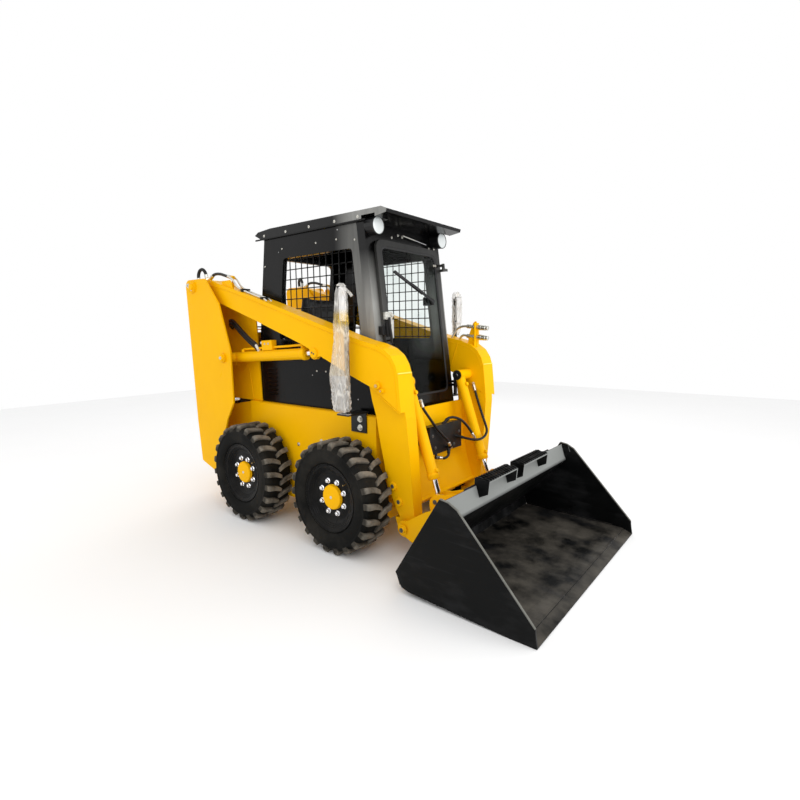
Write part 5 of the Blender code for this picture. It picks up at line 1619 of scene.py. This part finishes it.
@dataclass
class Arms(Assembly):
    """The lift arms' edge strips, seams, pin studs, pipes and auxiliary couplers."""

    outer: float = 0.5275
    inner: float = 0.399
    tower: float = 0.5905
    bead: float = 0.003

    def seams(self) -> None:
        """Build the welded edge strips and seams on both arms, with the front weld painted paler as a
        highlight.
        """
        top = [(-1.02, 1.712), (-0.7, 1.637), (-0.22, 1.5), (0.16, 1.388), (0.408, 1.317), (0.534, 1.28),
               (0.628, 1.254), (0.728, 1.232), (0.795, 1.208), (0.845, 1.172), (0.872, 1.13), (0.884, 1.08)]
        elbow = [(0.884, 1.08), (0.893, 1.0), (0.9, 0.905)]
        knee = [(0.769, 0.971), (0.86, 0.917), (0.922, 0.88)]
        heel = [(0.696, 1.243), (0.664, 1.15), (0.634, 1.066)]
        for side, name in SIDES:
            shape = Shape()
            for y, line in ((self.outer, top), (self.inner, top), (self.outer, elbow)):
                shape.pipe([(x, side * y, z) for x, z in line], 0.03, self.bead * 0.7, 8)
            for y, line, bead in ((self.outer - 0.0005, knee, 1.0), (self.inner, heel, 0.8)):
                shape.tube(along([(x, side * y, z) for x, z in line]), self.bead * bead, 8)
            shape.piece(f"arm_seams_{name}", YELLOW, "lift_arms", 60)
            # The front weld is painted paler, as a highlight.
            front = along([(0.9062, side * y, 1.1) for y in (self.inner + 0.004, self.outer - 0.004)])
            weld = Shape().tube(front, self.bead * 1.3, 8)
            weld.piece(f"arm_front_weld_{name}", SEAM_HIGHLIGHT, "lift_arms", 60)

    def studs(self, side: int, name: str) -> None:
        """Build the pin heads and leg bosses on an arm's outer face.

        Args:
            side: The side, 1 or -1.
            name: The side's name.
        """
        way = (0, side, 0)
        y = side * self.outer
        heads, nipples, bosses, plugs = Shape(), Shape(), Shape(), Shape()
        for x, z, radius, tip in ((0.764, 1.027, 0.021, 0.01), (0.798, 1.0, 0.013, 0.006)):
            heads.turned([(0, radius), (0.016, radius), (0.02, radius * 0.82)],
                         at(x, y - side * 0.002, z), way)
            nipples.turned([(0, tip), (0.006, tip), (0.008, tip * 0.7)], at(x, y + side * 0.0178, z), way, 16)
        for x, z in ((0.782, 0.426), (0.816, 0.335)):
            base = at(x, side * (0.49 - 0.132 * (0.89 - z)), z)
            bosses.turned([(-0.004, 0.026), (0.007, 0.026), (0.01, 0.023)], base, way, 28)
            plugs.turned([(0.0095, 0.013), (0.0112, 0.012)], base, way, 20)
        heads.piece(f"arm_pin_heads_{name}", YELLOW, "lift_arms")
        nipples.piece(f"arm_pin_nipples_{name}", BRASS, "lift_arms")
        bosses.piece(f"leg_bosses_{name}", YELLOW, "lift_arms")
        plugs.piece(f"leg_boss_plugs_{name}", IRON, "lift_arms")

    def pins(self, side: int, name: str) -> None:
        """Build the pin heads, keeper and bolts on a tower, and the lift cylinder's eye cap on its arm.

        Args:
            side: The side, 1 or -1.
            name: The side's name.
        """
        way = (0, side, 0)
        tower = Shape()
        for x, z, radius, flange, top in ((-1.083, 1.683, 0.036, 0.013, 0.016),
                                          (-0.704, 1.149, 0.034, 0.014, 0.017)):
            tower.turned([(-0.002, radius), (0.004, radius), (0.005, 0.024), (flange, 0.024), (top, 0.02)],
                         at(x, side * self.tower, z), way, 28)
        tower.piece(f"tower_pin_heads_{name}", YELLOW)
        outline = rounded([(x, z, 0.01) for x, z in
                           ((-1.15, 1.69), (-1.083, 1.65), (-1.068, 1.676), (-1.135, 1.716))])
        keeper = Shape().prism(outline, side * 0.5895, side * 0.5955, chamfer=0.001)
        keeper.piece(f"tower_pin_keepers_{name}", ZINC)
        spots = [(at(-1.138, side * 0.5957, 1.698), way), (at(-0.704, side * 0.607, 1.149), way)]
        self.shop.bolts(f"tower_pin_bolts_{name}", spots, "machine", ZINC, 0.009, 0.006, 0.012)
        y = side * self.outer
        eye = Shape().turned([(-0.001, 0.033), (0.006, 0.033), (0.01, 0.029)], at(0.23, y, 1.2), way, 28)
        eye.piece(f"lift_eye_caps_{name}", YELLOW, "lift_arms")
        spots = [(at(x, y + side * 0.0102, z), way) for x, z in ((0.222, 1.203), (0.238, 1.196))]
        self.shop.bolts(f"lift_eye_bolts_{name}", spots, "lift_arms", IRON, 0.004, 0.003, 0.0055)

    def pipes(self) -> None:
        """Build the twin steel pipes along each arm's top, their clamps and the raised hose bracket."""
        run = [(-0.735, 1.742), (-0.69, 1.722), (-0.64, 1.672), (-0.577, 1.64), (-0.435, 1.596),
               (-0.3, 1.556), (-0.285, 1.53)]
        outline = [(-0.8, 1.64), (-0.645, 1.6), (-0.672, 1.7), (-0.69, 1.716), (-0.79, 1.712)]
        for side, name in SIDES:
            pipes, clamps = Shape(), Shape()
            for y in (0.49, 0.45):
                pipes.pipe([(x, side * y, z) for x, z in run], 0.02, 0.0075)
            pipes.piece(f"arm_pipes_{name}", ZINC, "lift_arms")
            for x, z in ((-0.56, 1.63), (-0.33, 1.56)):
                clamps.box((x - 0.012, x + 0.012), (side * 0.435, side * 0.505), (z - 0.03, z + 0.016), 0.003)
            clamps.piece(f"arm_pipe_clamps_{name}", PLASTIC, "lift_arms")
            bracket = Shape().prism(outline, side * 0.505, side * 0.513, chamfer=0.001)
            bracket.piece(f"arm_hose_bracket_{name}", YELLOW, "lift_arms")

    def couplers(self) -> None:
        """Build the auxiliary quick couplers on the left elbow."""
        plate = Shape()
        outline = rounded([(0.756, 1.205, 0), (0.828, 1.19, 0), (0.832, 1.36, 0.01), (0.818, 1.402, 0.012),
                           (0.795, 1.385, 0.01), (0.756, 1.29, 0.02)])
        plate.prism(outline, 0.446, 0.454, chamfer=0.001)
        plate.box((0.812, 0.822), (0.425, 0.485), (1.215, 1.385), 0.002)
        plate.piece("coupler_bracket", YELLOW, "lift_arms")
        profile = [(0, 0.012), (0.002, 0.016), (0.03, 0.016), (0.031, 0.013), (0.055, 0.013), (0.056, 0.019),
                   (0.078, 0.019), (0.079, 0.015), (0.096, 0.015), (0.097, 0.0205), (0.118, 0.0205),
                   (0.119, 0.019), (0.15, 0.019), (0.152, 0.0165), (0.168, 0.0165), (0.17, 0.013)]
        bodies = Shape()
        for z in (1.364, 1.295):
            bodies.turned(profile, at(0.742, 0.455, z), (1, 0, -0.1))
        bodies.piece("coupler_bodies", ZINC, "lift_arms")
        feeds = Shape()
        for route in ([(0.744, 0.455, 1.364), (0.7, 0.455, 1.362), (0.66, 0.452, 1.345), (0.63, 0.446, 1.3),
                       (0.612, 0.44, 1.262)],
                      [(0.744, 0.455, 1.295), (0.715, 0.458, 1.3), (0.69, 0.462, 1.292),
                       (0.668, 0.466, 1.262), (0.66, 0.466, 1.232)]):
            feeds.pipe(route, 0.012, 0.0085)
        feeds.piece("coupler_feed_pipes", ZINC, "lift_arms")

    def build(self) -> None:
        """Dress the arms."""
        coat(YELLOW, "arm_left", "arm_right", "cross_member")
        coat(PLASTIC, "hose_block")
        self.seams()
        for side, name in SIDES:
            self.studs(side, name)
            self.pins(side, name)
        self.pipes()
        self.couplers()
        places = (-0.13, 0.68), (0.17, 0.665), (-0.1, 0.6), (0.11, 0.59)
        spots = [(at(0.854, y, z), (1, 0, 0)) for y, z in places]
        self.shop.bolts("hose_block_bolts", spots, "lift_arms", IRON, 0.007, 0.005, 0.011)
        log.info("arms: seams, pipes and couplers")


# Cylinders


class Duty(Enum):
    """What a cylinder moves."""

    LIFT = "lift"
    TILT = "tilt"


@dataclass
class Cylinder(Assembly):
    """One cylinder's gland, ports, caps and feed pipe, laid along its own line."""

    duty: Duty
    side: int
    side_name: str
    start: Vector
    end: Vector
    length: float
    radius: float
    rod: float

    def __post_init__(self) -> None:
        """Work out the cylinder's direction, the direction square to it and its barrel's name."""
        self.way = (self.end - self.start).normalized()
        self.up = Vector((-self.way.z, 0, self.way.x))
        self.barrel = f"{self.duty.value}_{self.side_name}_barrel"

    def place(self, distance: float, up: float = 0.0, out: float = 0.0) -> Vector:
        """Return a place along the cylinder's line, moved square to it in the side view and outwards in y."""
        return self.start + self.way * distance + self.up * up + Vector((0, self.side * out, 0))

    def build(self) -> None:
        """Dress one cylinder."""
        coat(YELLOW, self.barrel)
        coat(CHROME, self.barrel.replace("barrel", "rod"))
        r, bore = self.radius, self.rod
        profile = [(-0.034, r - 0.004), (-0.034, r + 0.0035), (-0.03, r + 0.005), (-0.016, r + 0.005),
                   (-0.014, r + 0.004), (-0.004, r + 0.004), (0.001, r + 0.001), (0.004, bore + 0.009),
                   (0.004, bore + 0.0015), (-0.001, bore + 0.0015), (-0.001, r - 0.004)]
        gland = Shape().turned(profile, self.place(self.length), tuple(self.way), 40, closed=True)
        gland.piece(f"{self.barrel}_gland", YELLOW, self.barrel)
        if self.duty is Duty.LIFT:
            self.lift_fittings()
        else:
            self.tilt_fittings()

    def ports(self, distances: tuple[float, float], foot: float, shoulder: float, top: float,
              radius: float) -> None:
        """Build the two round ports on the barrel.

        Args:
            distances: How far along the barrel they stand.
            foot: How far from the barrel's line they start.
            shoulder: How far from it their shoulder is.
            top: How far from it they end.
            radius: Their radius.
        """
        shape = Shape()
        for distance in distances:
            shape.turned([(foot, radius), (shoulder, radius), (top, radius - 0.002)], self.place(distance),
                         tuple(self.up), 20)
        shape.piece(f"{self.barrel}_ports", YELLOW, self.barrel)

    def lift_fittings(self) -> None:
        """Build the valve block, the feed pipe and its ports on a lift cylinder."""
        self.ports((0.09, 0.765), self.radius - 0.01, 0.052, 0.056, 0.014)
        low = self.radius - 0.002
        corners = [self.place(*spot) for spot in ((0.345, low), (0.462, low), (0.462, 0.106), (0.345, 0.106))]
        block = Shape().prism([(p.x - MID_X, p.z) for p in corners], self.start.y - 0.022,
                              self.start.y + 0.022, chamfer=0.003)
        block.piece(f"{self.barrel}_valve", YELLOW, self.barrel)
        pipe = Shape()
        for route in (((0.765, 0.05), (0.757, 0.057), (0.735, 0.058), (0.6, 0.056), (0.455, 0.056)),
                      ((0.35, 0.056), (0.25, 0.056), (0.11, 0.056), (0.095, 0.055), (0.09, 0.048))):
            pipe.tube(smooth_line([self.place(*spot) for spot in route], 0.015), 0.0085)
        pipe.piece(f"{self.barrel}_pipe", YELLOW, self.barrel)
        spots = [(self.place(distance, 0.082, 0.022), (0, self.side, 0)) for distance in (0.385, 0.425)]
        self.shop.bolts(f"{self.barrel}_valve_plugs", spots, self.barrel, ZINC, 0.006, 0.004, 0.008)
        inlet = Shape().turned([(0, 0.01), (0.012, 0.01), (0.013, 0.013), (0.026, 0.013), (0.028, 0.01)],
                               self.place(0.346, 0.092), tuple(-self.way), 20)
        inlet.piece(f"{self.barrel}_inlet", ZINC, self.barrel)

    def tilt_fittings(self) -> None:
        """Build the pin cap, its bolt and the ports on a tilt cylinder."""
        inner = (0, -self.side, 0)
        cap_at = self.place(0, 0, -0.0335)
        cap = Shape().turned([(-0.003, 0.032), (-0.001, 0.034), (0.0006, 0.034), (0.0012, 0.032),
                              (0.0015, 0.026)], cap_at, inner, 36)
        cap.piece(f"{self.barrel}_pin_cap", PLASTIC, self.barrel)
        bolt = Shape().turned([(-0.001, 0.01), (0.0006, 0.01), (0.001, 0.008)],
                              self.place(0, 0, -0.0349), inner, 6)
        bolt.piece(f"{self.barrel}_pin_bolt", CHROME, self.barrel)
        self.ports((0.075, 0.548), self.radius - 0.008, self.radius + 0.01, self.radius + 0.013, 0.013)


def cylinders(shop: Workshop) -> list[Cylinder]:
    """Return the lift and the tilt cylinder of each side, laid on their lines."""
    return [Cylinder(shop, duty, side, name, at(x, side * y, z), at(end_x, side * y, end_z), *sizes)
            for side, name in SIDES for duty, y, x, z, end_x, end_z, *sizes in (
                (Duty.LIFT, 0.47, -0.704, 1.149, 0.23, 1.2, 0.8, 0.038, 0.02),
                (Duty.TILT, 0.285, 0.785, 1.03, 1.014, 0.35, 0.591, 0.0325, 0.0165))]


# Mirrors in their shipping film


@dataclass(frozen=True)
class Bundle:
    """The film's outline and loose ends on one mirror."""

    rows: tuple[tuple[float, float, float, float, float], ...]
    tail: tuple[Point, ...]
    knot: tuple[Point, ...]


NEAR_BUNDLE = Bundle(
    ((0.868, 0.535, 0.588, 0.052, 0.03), (0.885, 0.535, 0.59, 0.064, 0.04),
     (0.93, 0.532, 0.592, 0.066, 0.044),
     (1.0, 0.532, 0.594, 0.066, 0.046), (1.08, 0.528, 0.596, 0.07, 0.046), (1.13, 0.53, 0.596, 0.062, 0.042),
     (1.2, 0.538, 0.594, 0.056, 0.04), (1.3, 0.548, 0.596, 0.048, 0.04), (1.385, 0.556, 0.602, 0.04, 0.046),
     (1.48, 0.562, 0.604, 0.03, 0.044), (1.56, 0.563, 0.603, 0.024, 0.04), (1.592, 0.56, 0.598, 0.018, 0.03),
     (1.604, 0.552, 0.59, 0.01, 0.012)),
    ((0.548, -0.588, 1.59), (0.572, -0.584, 1.572), (0.6, -0.578, 1.552), (0.616, -0.572, 1.53)),
    ((0.522, -0.592, 1.585), (0.536, -0.59, 1.596), (0.552, -0.588, 1.594)))
FAR_BUNDLE = Bundle(
    ((1.3, 0.562, 0.585, 0.026, 0.022), (1.34, 0.562, 0.59, 0.03, 0.036), (1.4, 0.562, 0.596, 0.034, 0.044),
     (1.5, 0.562, 0.598, 0.034, 0.046), (1.58, 0.562, 0.598, 0.034, 0.046),
     (1.606, 0.562, 0.596, 0.028, 0.04),
     (1.618, 0.562, 0.594, 0.016, 0.024)),
    ((0.56, 0.59, 1.33), (0.552, 0.56, 1.318), (0.545, 0.53, 1.3), (0.54, 0.505, 1.296)),
    ((0.562, 0.6, 1.612), (0.56, 0.612, 1.62), (0.558, 0.622, 1.612)))


@dataclass
class WrappedMirror(Assembly):
    """A mirror and its post, bundled in clear film."""

    side: int
    side_name: str
    bundle: Bundle
    sides: int = 56
    steps: int = 7
    fold: float = 0.2

    def ring(self, row: list[float]) -> list[Vector]:
        """Draw the crumpled film's outline at one height.

        Args:
            row: The height, x, |y|, half width in x and half width in y.

        Returns:
            Its points.
        """
        z, x, y, wide, deep = row
        points = []
        for k in range(self.sides):
            a = math.tau * k / self.sides
            spot = Vector((math.cos(a) * 1.6, math.sin(a) * 1.6, z * 16 + 3.0 * self.side))
            ridge = 1 - 2 * abs(noise.noise(spot * 1.7))
            fine = noise.noise(spot * 5.0) * 0.35
            grow = 1 + self.fold * (ridge - 0.75 + fine)
            points.append(at(x + math.cos(a) * wide * grow, self.side * y + math.sin(a) * deep * grow,
                             z + 0.006 * noise.noise(spot * 2.3)))
        return points

    def film(self) -> Piece:
        """Build the crumpled film with its loose tail and knot.

        Returns:
            The piece.
        """
        rows = self.bundle.rows
        rings = []
        for i, (first, second) in enumerate(zip(rows, rows[1:])):
            last = i == len(rows) - 2
            for step in range(self.steps + last):
                t = step / self.steps
                rings.append(self.ring([a + (b - a) * (t * t * (3 - 2 * t)) for a, b in zip(first, second)]))
        film = Shape().loft(rings)
        for line in (self.bundle.tail, self.bundle.knot):
            path = smooth_line(along(list(line)), 0.006)
            radii = [0.007 + 0.007 * abs(noise.noise(Vector((i * 0.35, 2.0, self.side))))
                     for i in range(len(path))]
            film.loft(swept(path, radii, 14))
        return film.piece(f"mirror_film_{self.side_name}", WRAP, "machine", 75)

    def stains(self, film: Piece) -> None:
        """Write how far the film is tinted orange: a band ahead of the near mirror and a haze below it.

        Args:
            film: The film.
        """
        near = self.side < 0
        shares = []
        for vertex in film.data.vertices:
            x, z = vertex.co.x - MID_X, vertex.co.z
            band = max(0.0, 1 - abs(z - 1.4) / 0.05) if near and x > 0.535 else 0.0
            haze = 0.22 if near and 1.08 < z < 1.36 else 0.0
            shares.append(min(1.0, band * 2.0 + haze + 0.15 * abs(noise.noise(vertex.co * 30))))
        film.data.attributes.new("tinted", "FLOAT", "POINT").data.foreach_set("value", shares)

    def build(self) -> None:
        """Build the film, the mirror's glass, the plate's bolts and the film on the lug."""
        coat(PLASTIC, f"mirror_{self.side_name}")
        self.stains(self.film())
        glass = Shape().box((0.5705, 0.574), (self.side * 0.577, self.side * 0.63), (1.39, 1.58), 0.001)
        glass.piece(f"mirror_glass_{self.side_name}", CHROME)
        spots = [(at(0.522, self.side * 0.4283, z), (0, self.side, 0)) for z in (0.745, 0.798)]
        self.shop.bolts(f"mirror_plate_bolts_{self.side_name}", spots, "machine", ZINC, 0.014, 0.012, 0.02)
        outline = rounded([(x, self.side * y, 0.02) for x, y in
                           ((0.494, 0.56), (0.59, 0.56), (0.59, 0.5945), (0.494, 0.5945))])
        lug = Shape().prism(outline, 0.8505, 0.856, Axis.Z, 0.001)
        lug.piece(f"mirror_lug_film_{self.side_name}", WRAP)


# Bucket and quick coupler


@dataclass
class Bucket(Assembly):
    """The bucket's welds, step teeth, edge and wear, and the quick coupler's fittings."""

    half: float = 0.745
    plate: float = 0.01
    teeth: int = 13

    def welds(self) -> None:
        """Build the weld beads where the sheet meets the side plates."""
        sheet = [(1.34, 0.53), (1.366, 0.438), (1.062, 0.112), (1.082, 0.06), (1.395, 0.048), (1.7, 0.038)]
        shape = Shape()
        for side, _ in SIDES:
            y = side * (self.half - self.plate - 0.001)
            for first, second in zip(sheet, sheet[1:]):
                steps = max(2, round(math.dist(first, second) / 0.012))
                start, end = at(first[0], y, first[1]), at(second[0], y, second[1])
                line = [start.lerp(end, i / steps) for i in range(steps + 1)]
                shape.loft(swept(line, [0.0034 + 0.0006 * math.sin(i * 2.1) for i in range(steps + 1)], 8))
        shape.piece("bucket_welds", BUCKET_STEEL, "bucket_tilt", 60)

    def steps(self) -> None:
        """Build the serrated teeth along both steps."""
        outline = [(1.338, 0.5735), (1.42, 0.5675), (1.42, 0.5725), (1.4, 0.58), (1.38, 0.5755),
                   (1.36, 0.5835), (1.338, 0.5785)]
        for number, (low, high) in enumerate(((-0.43, -0.11), (-0.03, 0.31)), 1):
            tooth = Shape().prism(outline, low + 0.006, low + 0.011, chamfer=0.0005)
            pitch = (high - low - 0.017) / (self.teeth - 1)
            self.shop.row(f"step_teeth_{number}", tooth, self.teeth, (0.0, pitch, 0.0), BUCKET_STEEL,
                          "bucket_tilt")

    def edge(self) -> None:
        """Build the side plates' bright rims, the corner gussets and the cutting edge's strip."""
        rims, gussets = Shape(), Shape()
        edge = [(1.334, 0.548), (1.38, 0.5405), (1.429, 0.514), (1.6, 0.325), (1.815, 0.087)]
        outline = [(1.345, 0.528), (1.368, 0.445), (1.405, 0.49), (1.392, 0.528)]
        for side, _ in SIDES:
            rims.band(along([(x, side * (self.half - 0.005), z) for x, z in edge]), Vector((0, 1, 0)),
                      0.0105, 0.004)
            y = side * (self.half - self.plate)
            gussets.prism(outline, y, y - side * 0.006, chamfer=0.001)
        rims.piece("bucket_side_rims", PALE_EDGE, "bucket_tilt")
        gussets.piece("bucket_corner_gussets", BUCKET_STEEL, "bucket_tilt")
        strip = Shape().prism([(1.69, 0.0265), (1.698, 0.0345), (1.76, 0.0325), (1.774, 0.0255)],
                              0.011 - self.half, self.half - 0.011, chamfer=0.001)
        strip.piece("bucket_edge_strip", BUCKET_STEEL, "bucket_tilt")

    def coupler(self) -> None:
        """Build the quick coupler's pin heads and bolts."""
        pins = Shape()
        profile = [(-0.001, 0.03), (0.005, 0.03), (0.006, 0.021), (0.012, 0.021), (0.015, 0.017)]
        for side, _ in SIDES:
            pins.turned(profile, at(0.87, side * 0.4525, 0.19), (0, side, 0), 28)
        pins.piece("coupler_pin_heads", YELLOW, "bucket_tilt")
        spots = both_sides(0.4672, [(0.87, 0.19)])
        self.shop.bolts("coupler_pin_bolts", spots, "bucket_tilt", IRON, 0.011, 0.006, 0.014)
        spots = [(at(1.014, side * (0.285 + out * 0.0505), 0.35), (0, side * out, 0))
                 for side, _ in SIDES for out in (1, -1)]
        self.shop.bolts("tilt_pin_heads", spots, "bucket_tilt", IRON, 0.01, 0.0022, 0.014)

    def build(self) -> None:
        """Dress the bucket and the coupler."""
        coat(BUCKET_STEEL, "bucket")
        coat(YELLOW, "coupler")
        self.welds()
        self.steps()
        self.edge()
        self.coupler()
        log.info("bucket: %.0f mm wide", self.half * 2000)


# Chassis, towers and rear


@dataclass
class Chassis(Assembly):
    """The frame's seams and bolts, the rear door's grille and handle, the hood's vents and the lamps."""

    bead: float = 0.0028
    wire: float = 0.0018
    flange_bolts: int = 8
    bolt_circle: float = 0.073

    def axles(self) -> None:
        """Build the axle flanges with their bolts."""
        flanges = Shape()
        profile = [(0, 0.088), (0.012, 0.088), (0.014, 0.084), (0.014, 0.062), (0.019, 0.06)]
        spots = []
        for x in (HALF_BASE, -HALF_BASE):
            for side, _ in SIDES:
                flanges.turned(profile, at(x, side * 0.4195, AXLE_Z), (0, side, 0), 40)
                for k in range(self.flange_bolts):
                    a = math.tau * (k + 0.5) / self.flange_bolts
                    spot = at(x + self.bolt_circle * math.cos(a), side * 0.4336,
                              AXLE_Z + self.bolt_circle * math.sin(a))
                    spots.append((spot, (0, side, 0)))
        flanges.piece("axle_flanges", IRON)
        self.shop.bolts("axle_flange_bolts", spots, "machine", ZINC, 0.009, 0.006, 0.013)

    def frame_parts(self) -> None:
        """Build the frame's seams, the axle flanges, the tub's bolts and the rims of the towers' holes."""
        seams, rims = Shape(), Shape()
        for side, _ in SIDES:
            seams.tube(along([(x, side * 0.4205, 0.8205) for x in (-0.52, 0.06, 0.64)]), self.bead, 8)
            corner = [(x, side * 0.3935, z) for x, z in ((-0.668, 1.065), (-0.645, 0.94), (-0.626, 0.835))]
            seams.pipe(corner, 0.03, self.bead, 8)
            rims.turned([(0, 0.07), (0, 0.078), (0.004, 0.078), (0.004, 0.07)],
                        at(-0.77, side * 0.3932, 1.12), (0, side, 0), 40, closed=True)
        seams.piece("frame_seams", YELLOW, "machine", 60)
        self.axles()
        spots = both_sides(0.4202, [(0.155, 0.612), (-0.08, 0.56), (-0.08, 0.3), (0.12, 0.25)])
        self.shop.bolts("tub_bolts", spots, "machine", ZINC, 0.009, 0.006, 0.013)
        rims.piece("tower_hole_rims", YELLOW)

    def grille(self) -> None:
        """Build the wire mesh behind the rear door's slots."""
        foot, low, high = (-1.122 + REAR_LEAN * (0.646 - z) for z in (0.66, 0.65, 1.22))
        wire = Shape().rod(at(foot + 0.012, -0.25, 0.66), at(foot + 0.012, 0.25, 0.66), self.wire, 6)
        step = (-REAR_LEAN * 0.0125, 0.0, 0.0125)
        self.shop.row("grille_wires_across", wire, 44, step, PLASTIC, "rear_door")
        wire = Shape().rod(at(low + 0.015, -0.245, 0.65), at(high + 0.015, -0.245, 1.22), self.wire, 6)
        self.shop.row("grille_wires_up", wire, 40, (0.0, 0.49 / 39, 0.0), PLASTIC, "rear_door")

    def rear_parts(self) -> None:
        """Build the rear door's handle and the tail lamps."""
        x = -1.148 + REAR_LEAN * (0.646 - 0.95)
        handle = Shape().box((x - 0.004, x + 0.004), (0.29, 0.345), (0.9, 1.01), 0.002)
        handle.pipe([(x - 0.004, 0.318, 0.99), (x - 0.03, 0.318, 0.982), (x - 0.032, 0.318, 0.955),
                     (x - 0.03, 0.318, 0.925), (x - 0.004, 0.318, 0.917)], 0.008, 0.007)
        handle.piece("rear_door_handle", PLASTIC, "rear_door")
        lamps, rims = Shape(), Shape()
        out = (-1.0, 0.0, -0.0867)
        for side, _ in SIDES:
            spot = at(-1.15, side * 0.49, 1.23)
            rims.turned([(-0.004, 0.04), (0.008, 0.04), (0.012, 0.036)], spot, out, 32)
            lamps.turned([(0.0115, 0.034), (0.017, 0.032), (0.02, 0.024), (0.021, 0.01)], spot, out, 32)
        rims.piece("tail_lamp_rims", SEAL)
        lamps.piece("tail_lamp_lenses", LAMP)

    def hood_parts(self) -> None:
        """Build the hood's vent ribs and its handle."""
        outline = [(-1.05, 1.3546), (-1.044, 1.362), (-1.036, 1.362), (-1.03, 1.3546)]
        rib = Shape().prism(outline, -0.18, 0.18, chamfer=0.001)
        self.shop.row("hood_vent_ribs", rib, 8, (0.04, 0.0, 0.0), YELLOW, "engine_hood")
        bow = [(-1.12, y, z) for y, z in ((-0.07, 1.35), (-0.066, 1.376), (-0.04, 1.382), (0.04, 1.382),
                                           (0.066, 1.376), (0.07, 1.35))]
        Shape().pipe(bow, 0.008, 0.006).piece("hood_handle", PLASTIC, "engine_hood")

    def build(self) -> None:
        """Dress the frame and the rear."""
        coat(YELLOW, "chassis", "tower_left", "tower_right", "engine_hood", "rear_door")
        coat(IRON, "engine_block", "front_axle", "rear_axle")
        self.frame_parts()
        self.grille()
        self.rear_parts()
        self.hood_parts()
        log.info("chassis and rear")


# Studio


@dataclass
class Studio:
    """The floor, the soft lights and the camera."""

    eye: Point = (2.61441, -2.58069, 1.32593)
    yaw: float = 128.0006
    pitch: float = 5.9055
    roll: float = -0.5096
    lens: float = 22.217
    shift: tuple[float, float] = (-0.01579, -0.02121)
    span: float = 9.0

    def camera(self) -> None:
        """Set up the camera."""
        yaw, pitch, roll = (math.radians(value) for value in (self.yaw, self.pitch, self.roll))
        ahead = Vector((math.cos(pitch) * math.cos(yaw), math.cos(pitch) * math.sin(yaw), -math.sin(pitch)))
        level = ahead.cross(Vector((0, 0, 1))).normalized()
        above = level.cross(ahead)
        right = level * math.cos(roll) + above * math.sin(roll)
        up = above * math.cos(roll) - level * math.sin(roll)
        data = bpy.data.cameras.new("camera")
        data.lens = self.lens
        data.sensor_width = 36.0
        data.shift_x, data.shift_y = self.shift
        data.clip_start, data.clip_end = 0.05, 60.0
        made = linked(bpy.data.objects.new("camera", data))
        turn = Matrix((right, up, -ahead)).transposed().to_4x4()
        made.matrix_world = Matrix.Translation(at(*self.eye)) @ turn
        bpy.context.scene.camera = made

    def light(self, name: str, place: Point, aim: Point, size: float, power: float) -> None:
        """Hang one soft area light.

        Args:
            name: Its name.
            place: Where it hangs.
            aim: Where it points.
            size: Its size in metres.
            power: Its power in watts.
        """
        data = bpy.data.lights.new(name, "AREA")
        data.shape = "SQUARE"
        data.size = size
        data.energy = power
        made = linked(bpy.data.objects.new(name, data))
        turn = (Vector(aim) - Vector(place)).to_track_quat("-Z", "Y").to_matrix().to_4x4()
        made.matrix_world = Matrix.Translation(Vector(place)) @ turn

    def build(self) -> None:
        """Build the studio."""
        self.camera()
        span = self.span
        data = bpy.data.meshes.new("floor")
        data.from_pydata([(-span, -span, 0), (span, -span, 0), (span, span, 0), (-span, span, 0)], [],
                         [(0, 1, 2, 3)])
        data.materials.append(FLOOR.material())
        linked(bpy.data.objects.new("floor", data))
        self.light("key", (3.6, -3.4, 4.6), (0, 0, 0.8), 3.2, 80)
        self.light("fill", (-3.5, -4.5, 3.4), (0, 0, 0.9), 4.0, 20)
        self.light("front", (5.0, 0.4, 1.5), (0.6, 0, 0.7), 3.0, 75)
        self.light("rim", (-2.5, 4.0, 4.4), (0, 0, 1.0), 3.5, 40)
        world = bpy.data.worlds.new("studio")
        world.use_nodes = True
        sky = world.node_tree.nodes["Background"].inputs
        sky["Color"].default_value = (1.0, 1.0, 1.0, 1.0)
        sky["Strength"].default_value = 1.0
        bpy.context.scene.world = world
        bpy.context.scene.view_settings.view_transform = "Standard"


def main() -> None:
    """Build and dress the whole machine."""
    logging.basicConfig(level=logging.INFO, format="%(message)s")
    Studio().build()
    shop = Workshop()
    for hose in HOSES:
        hose.build()
    for place, phase in (("front", 0.1), ("rear", 0.02)):
        for side, name in SIDES:
            Wheel(shop, place, side, name, phase).build()
    Cab(shop).build()
    Interior().build()
    Arms(shop).build()
    for cylinder in cylinders(shop):
        cylinder.build()
    for (side, name), bundle in zip(SIDES, (FAR_BUNDLE, NEAR_BUNDLE)):
        WrappedMirror(shop, side, name, bundle).build()
    Bucket(shop).build()
    Chassis(shop).build()


if __name__ == "__main__":
    main()
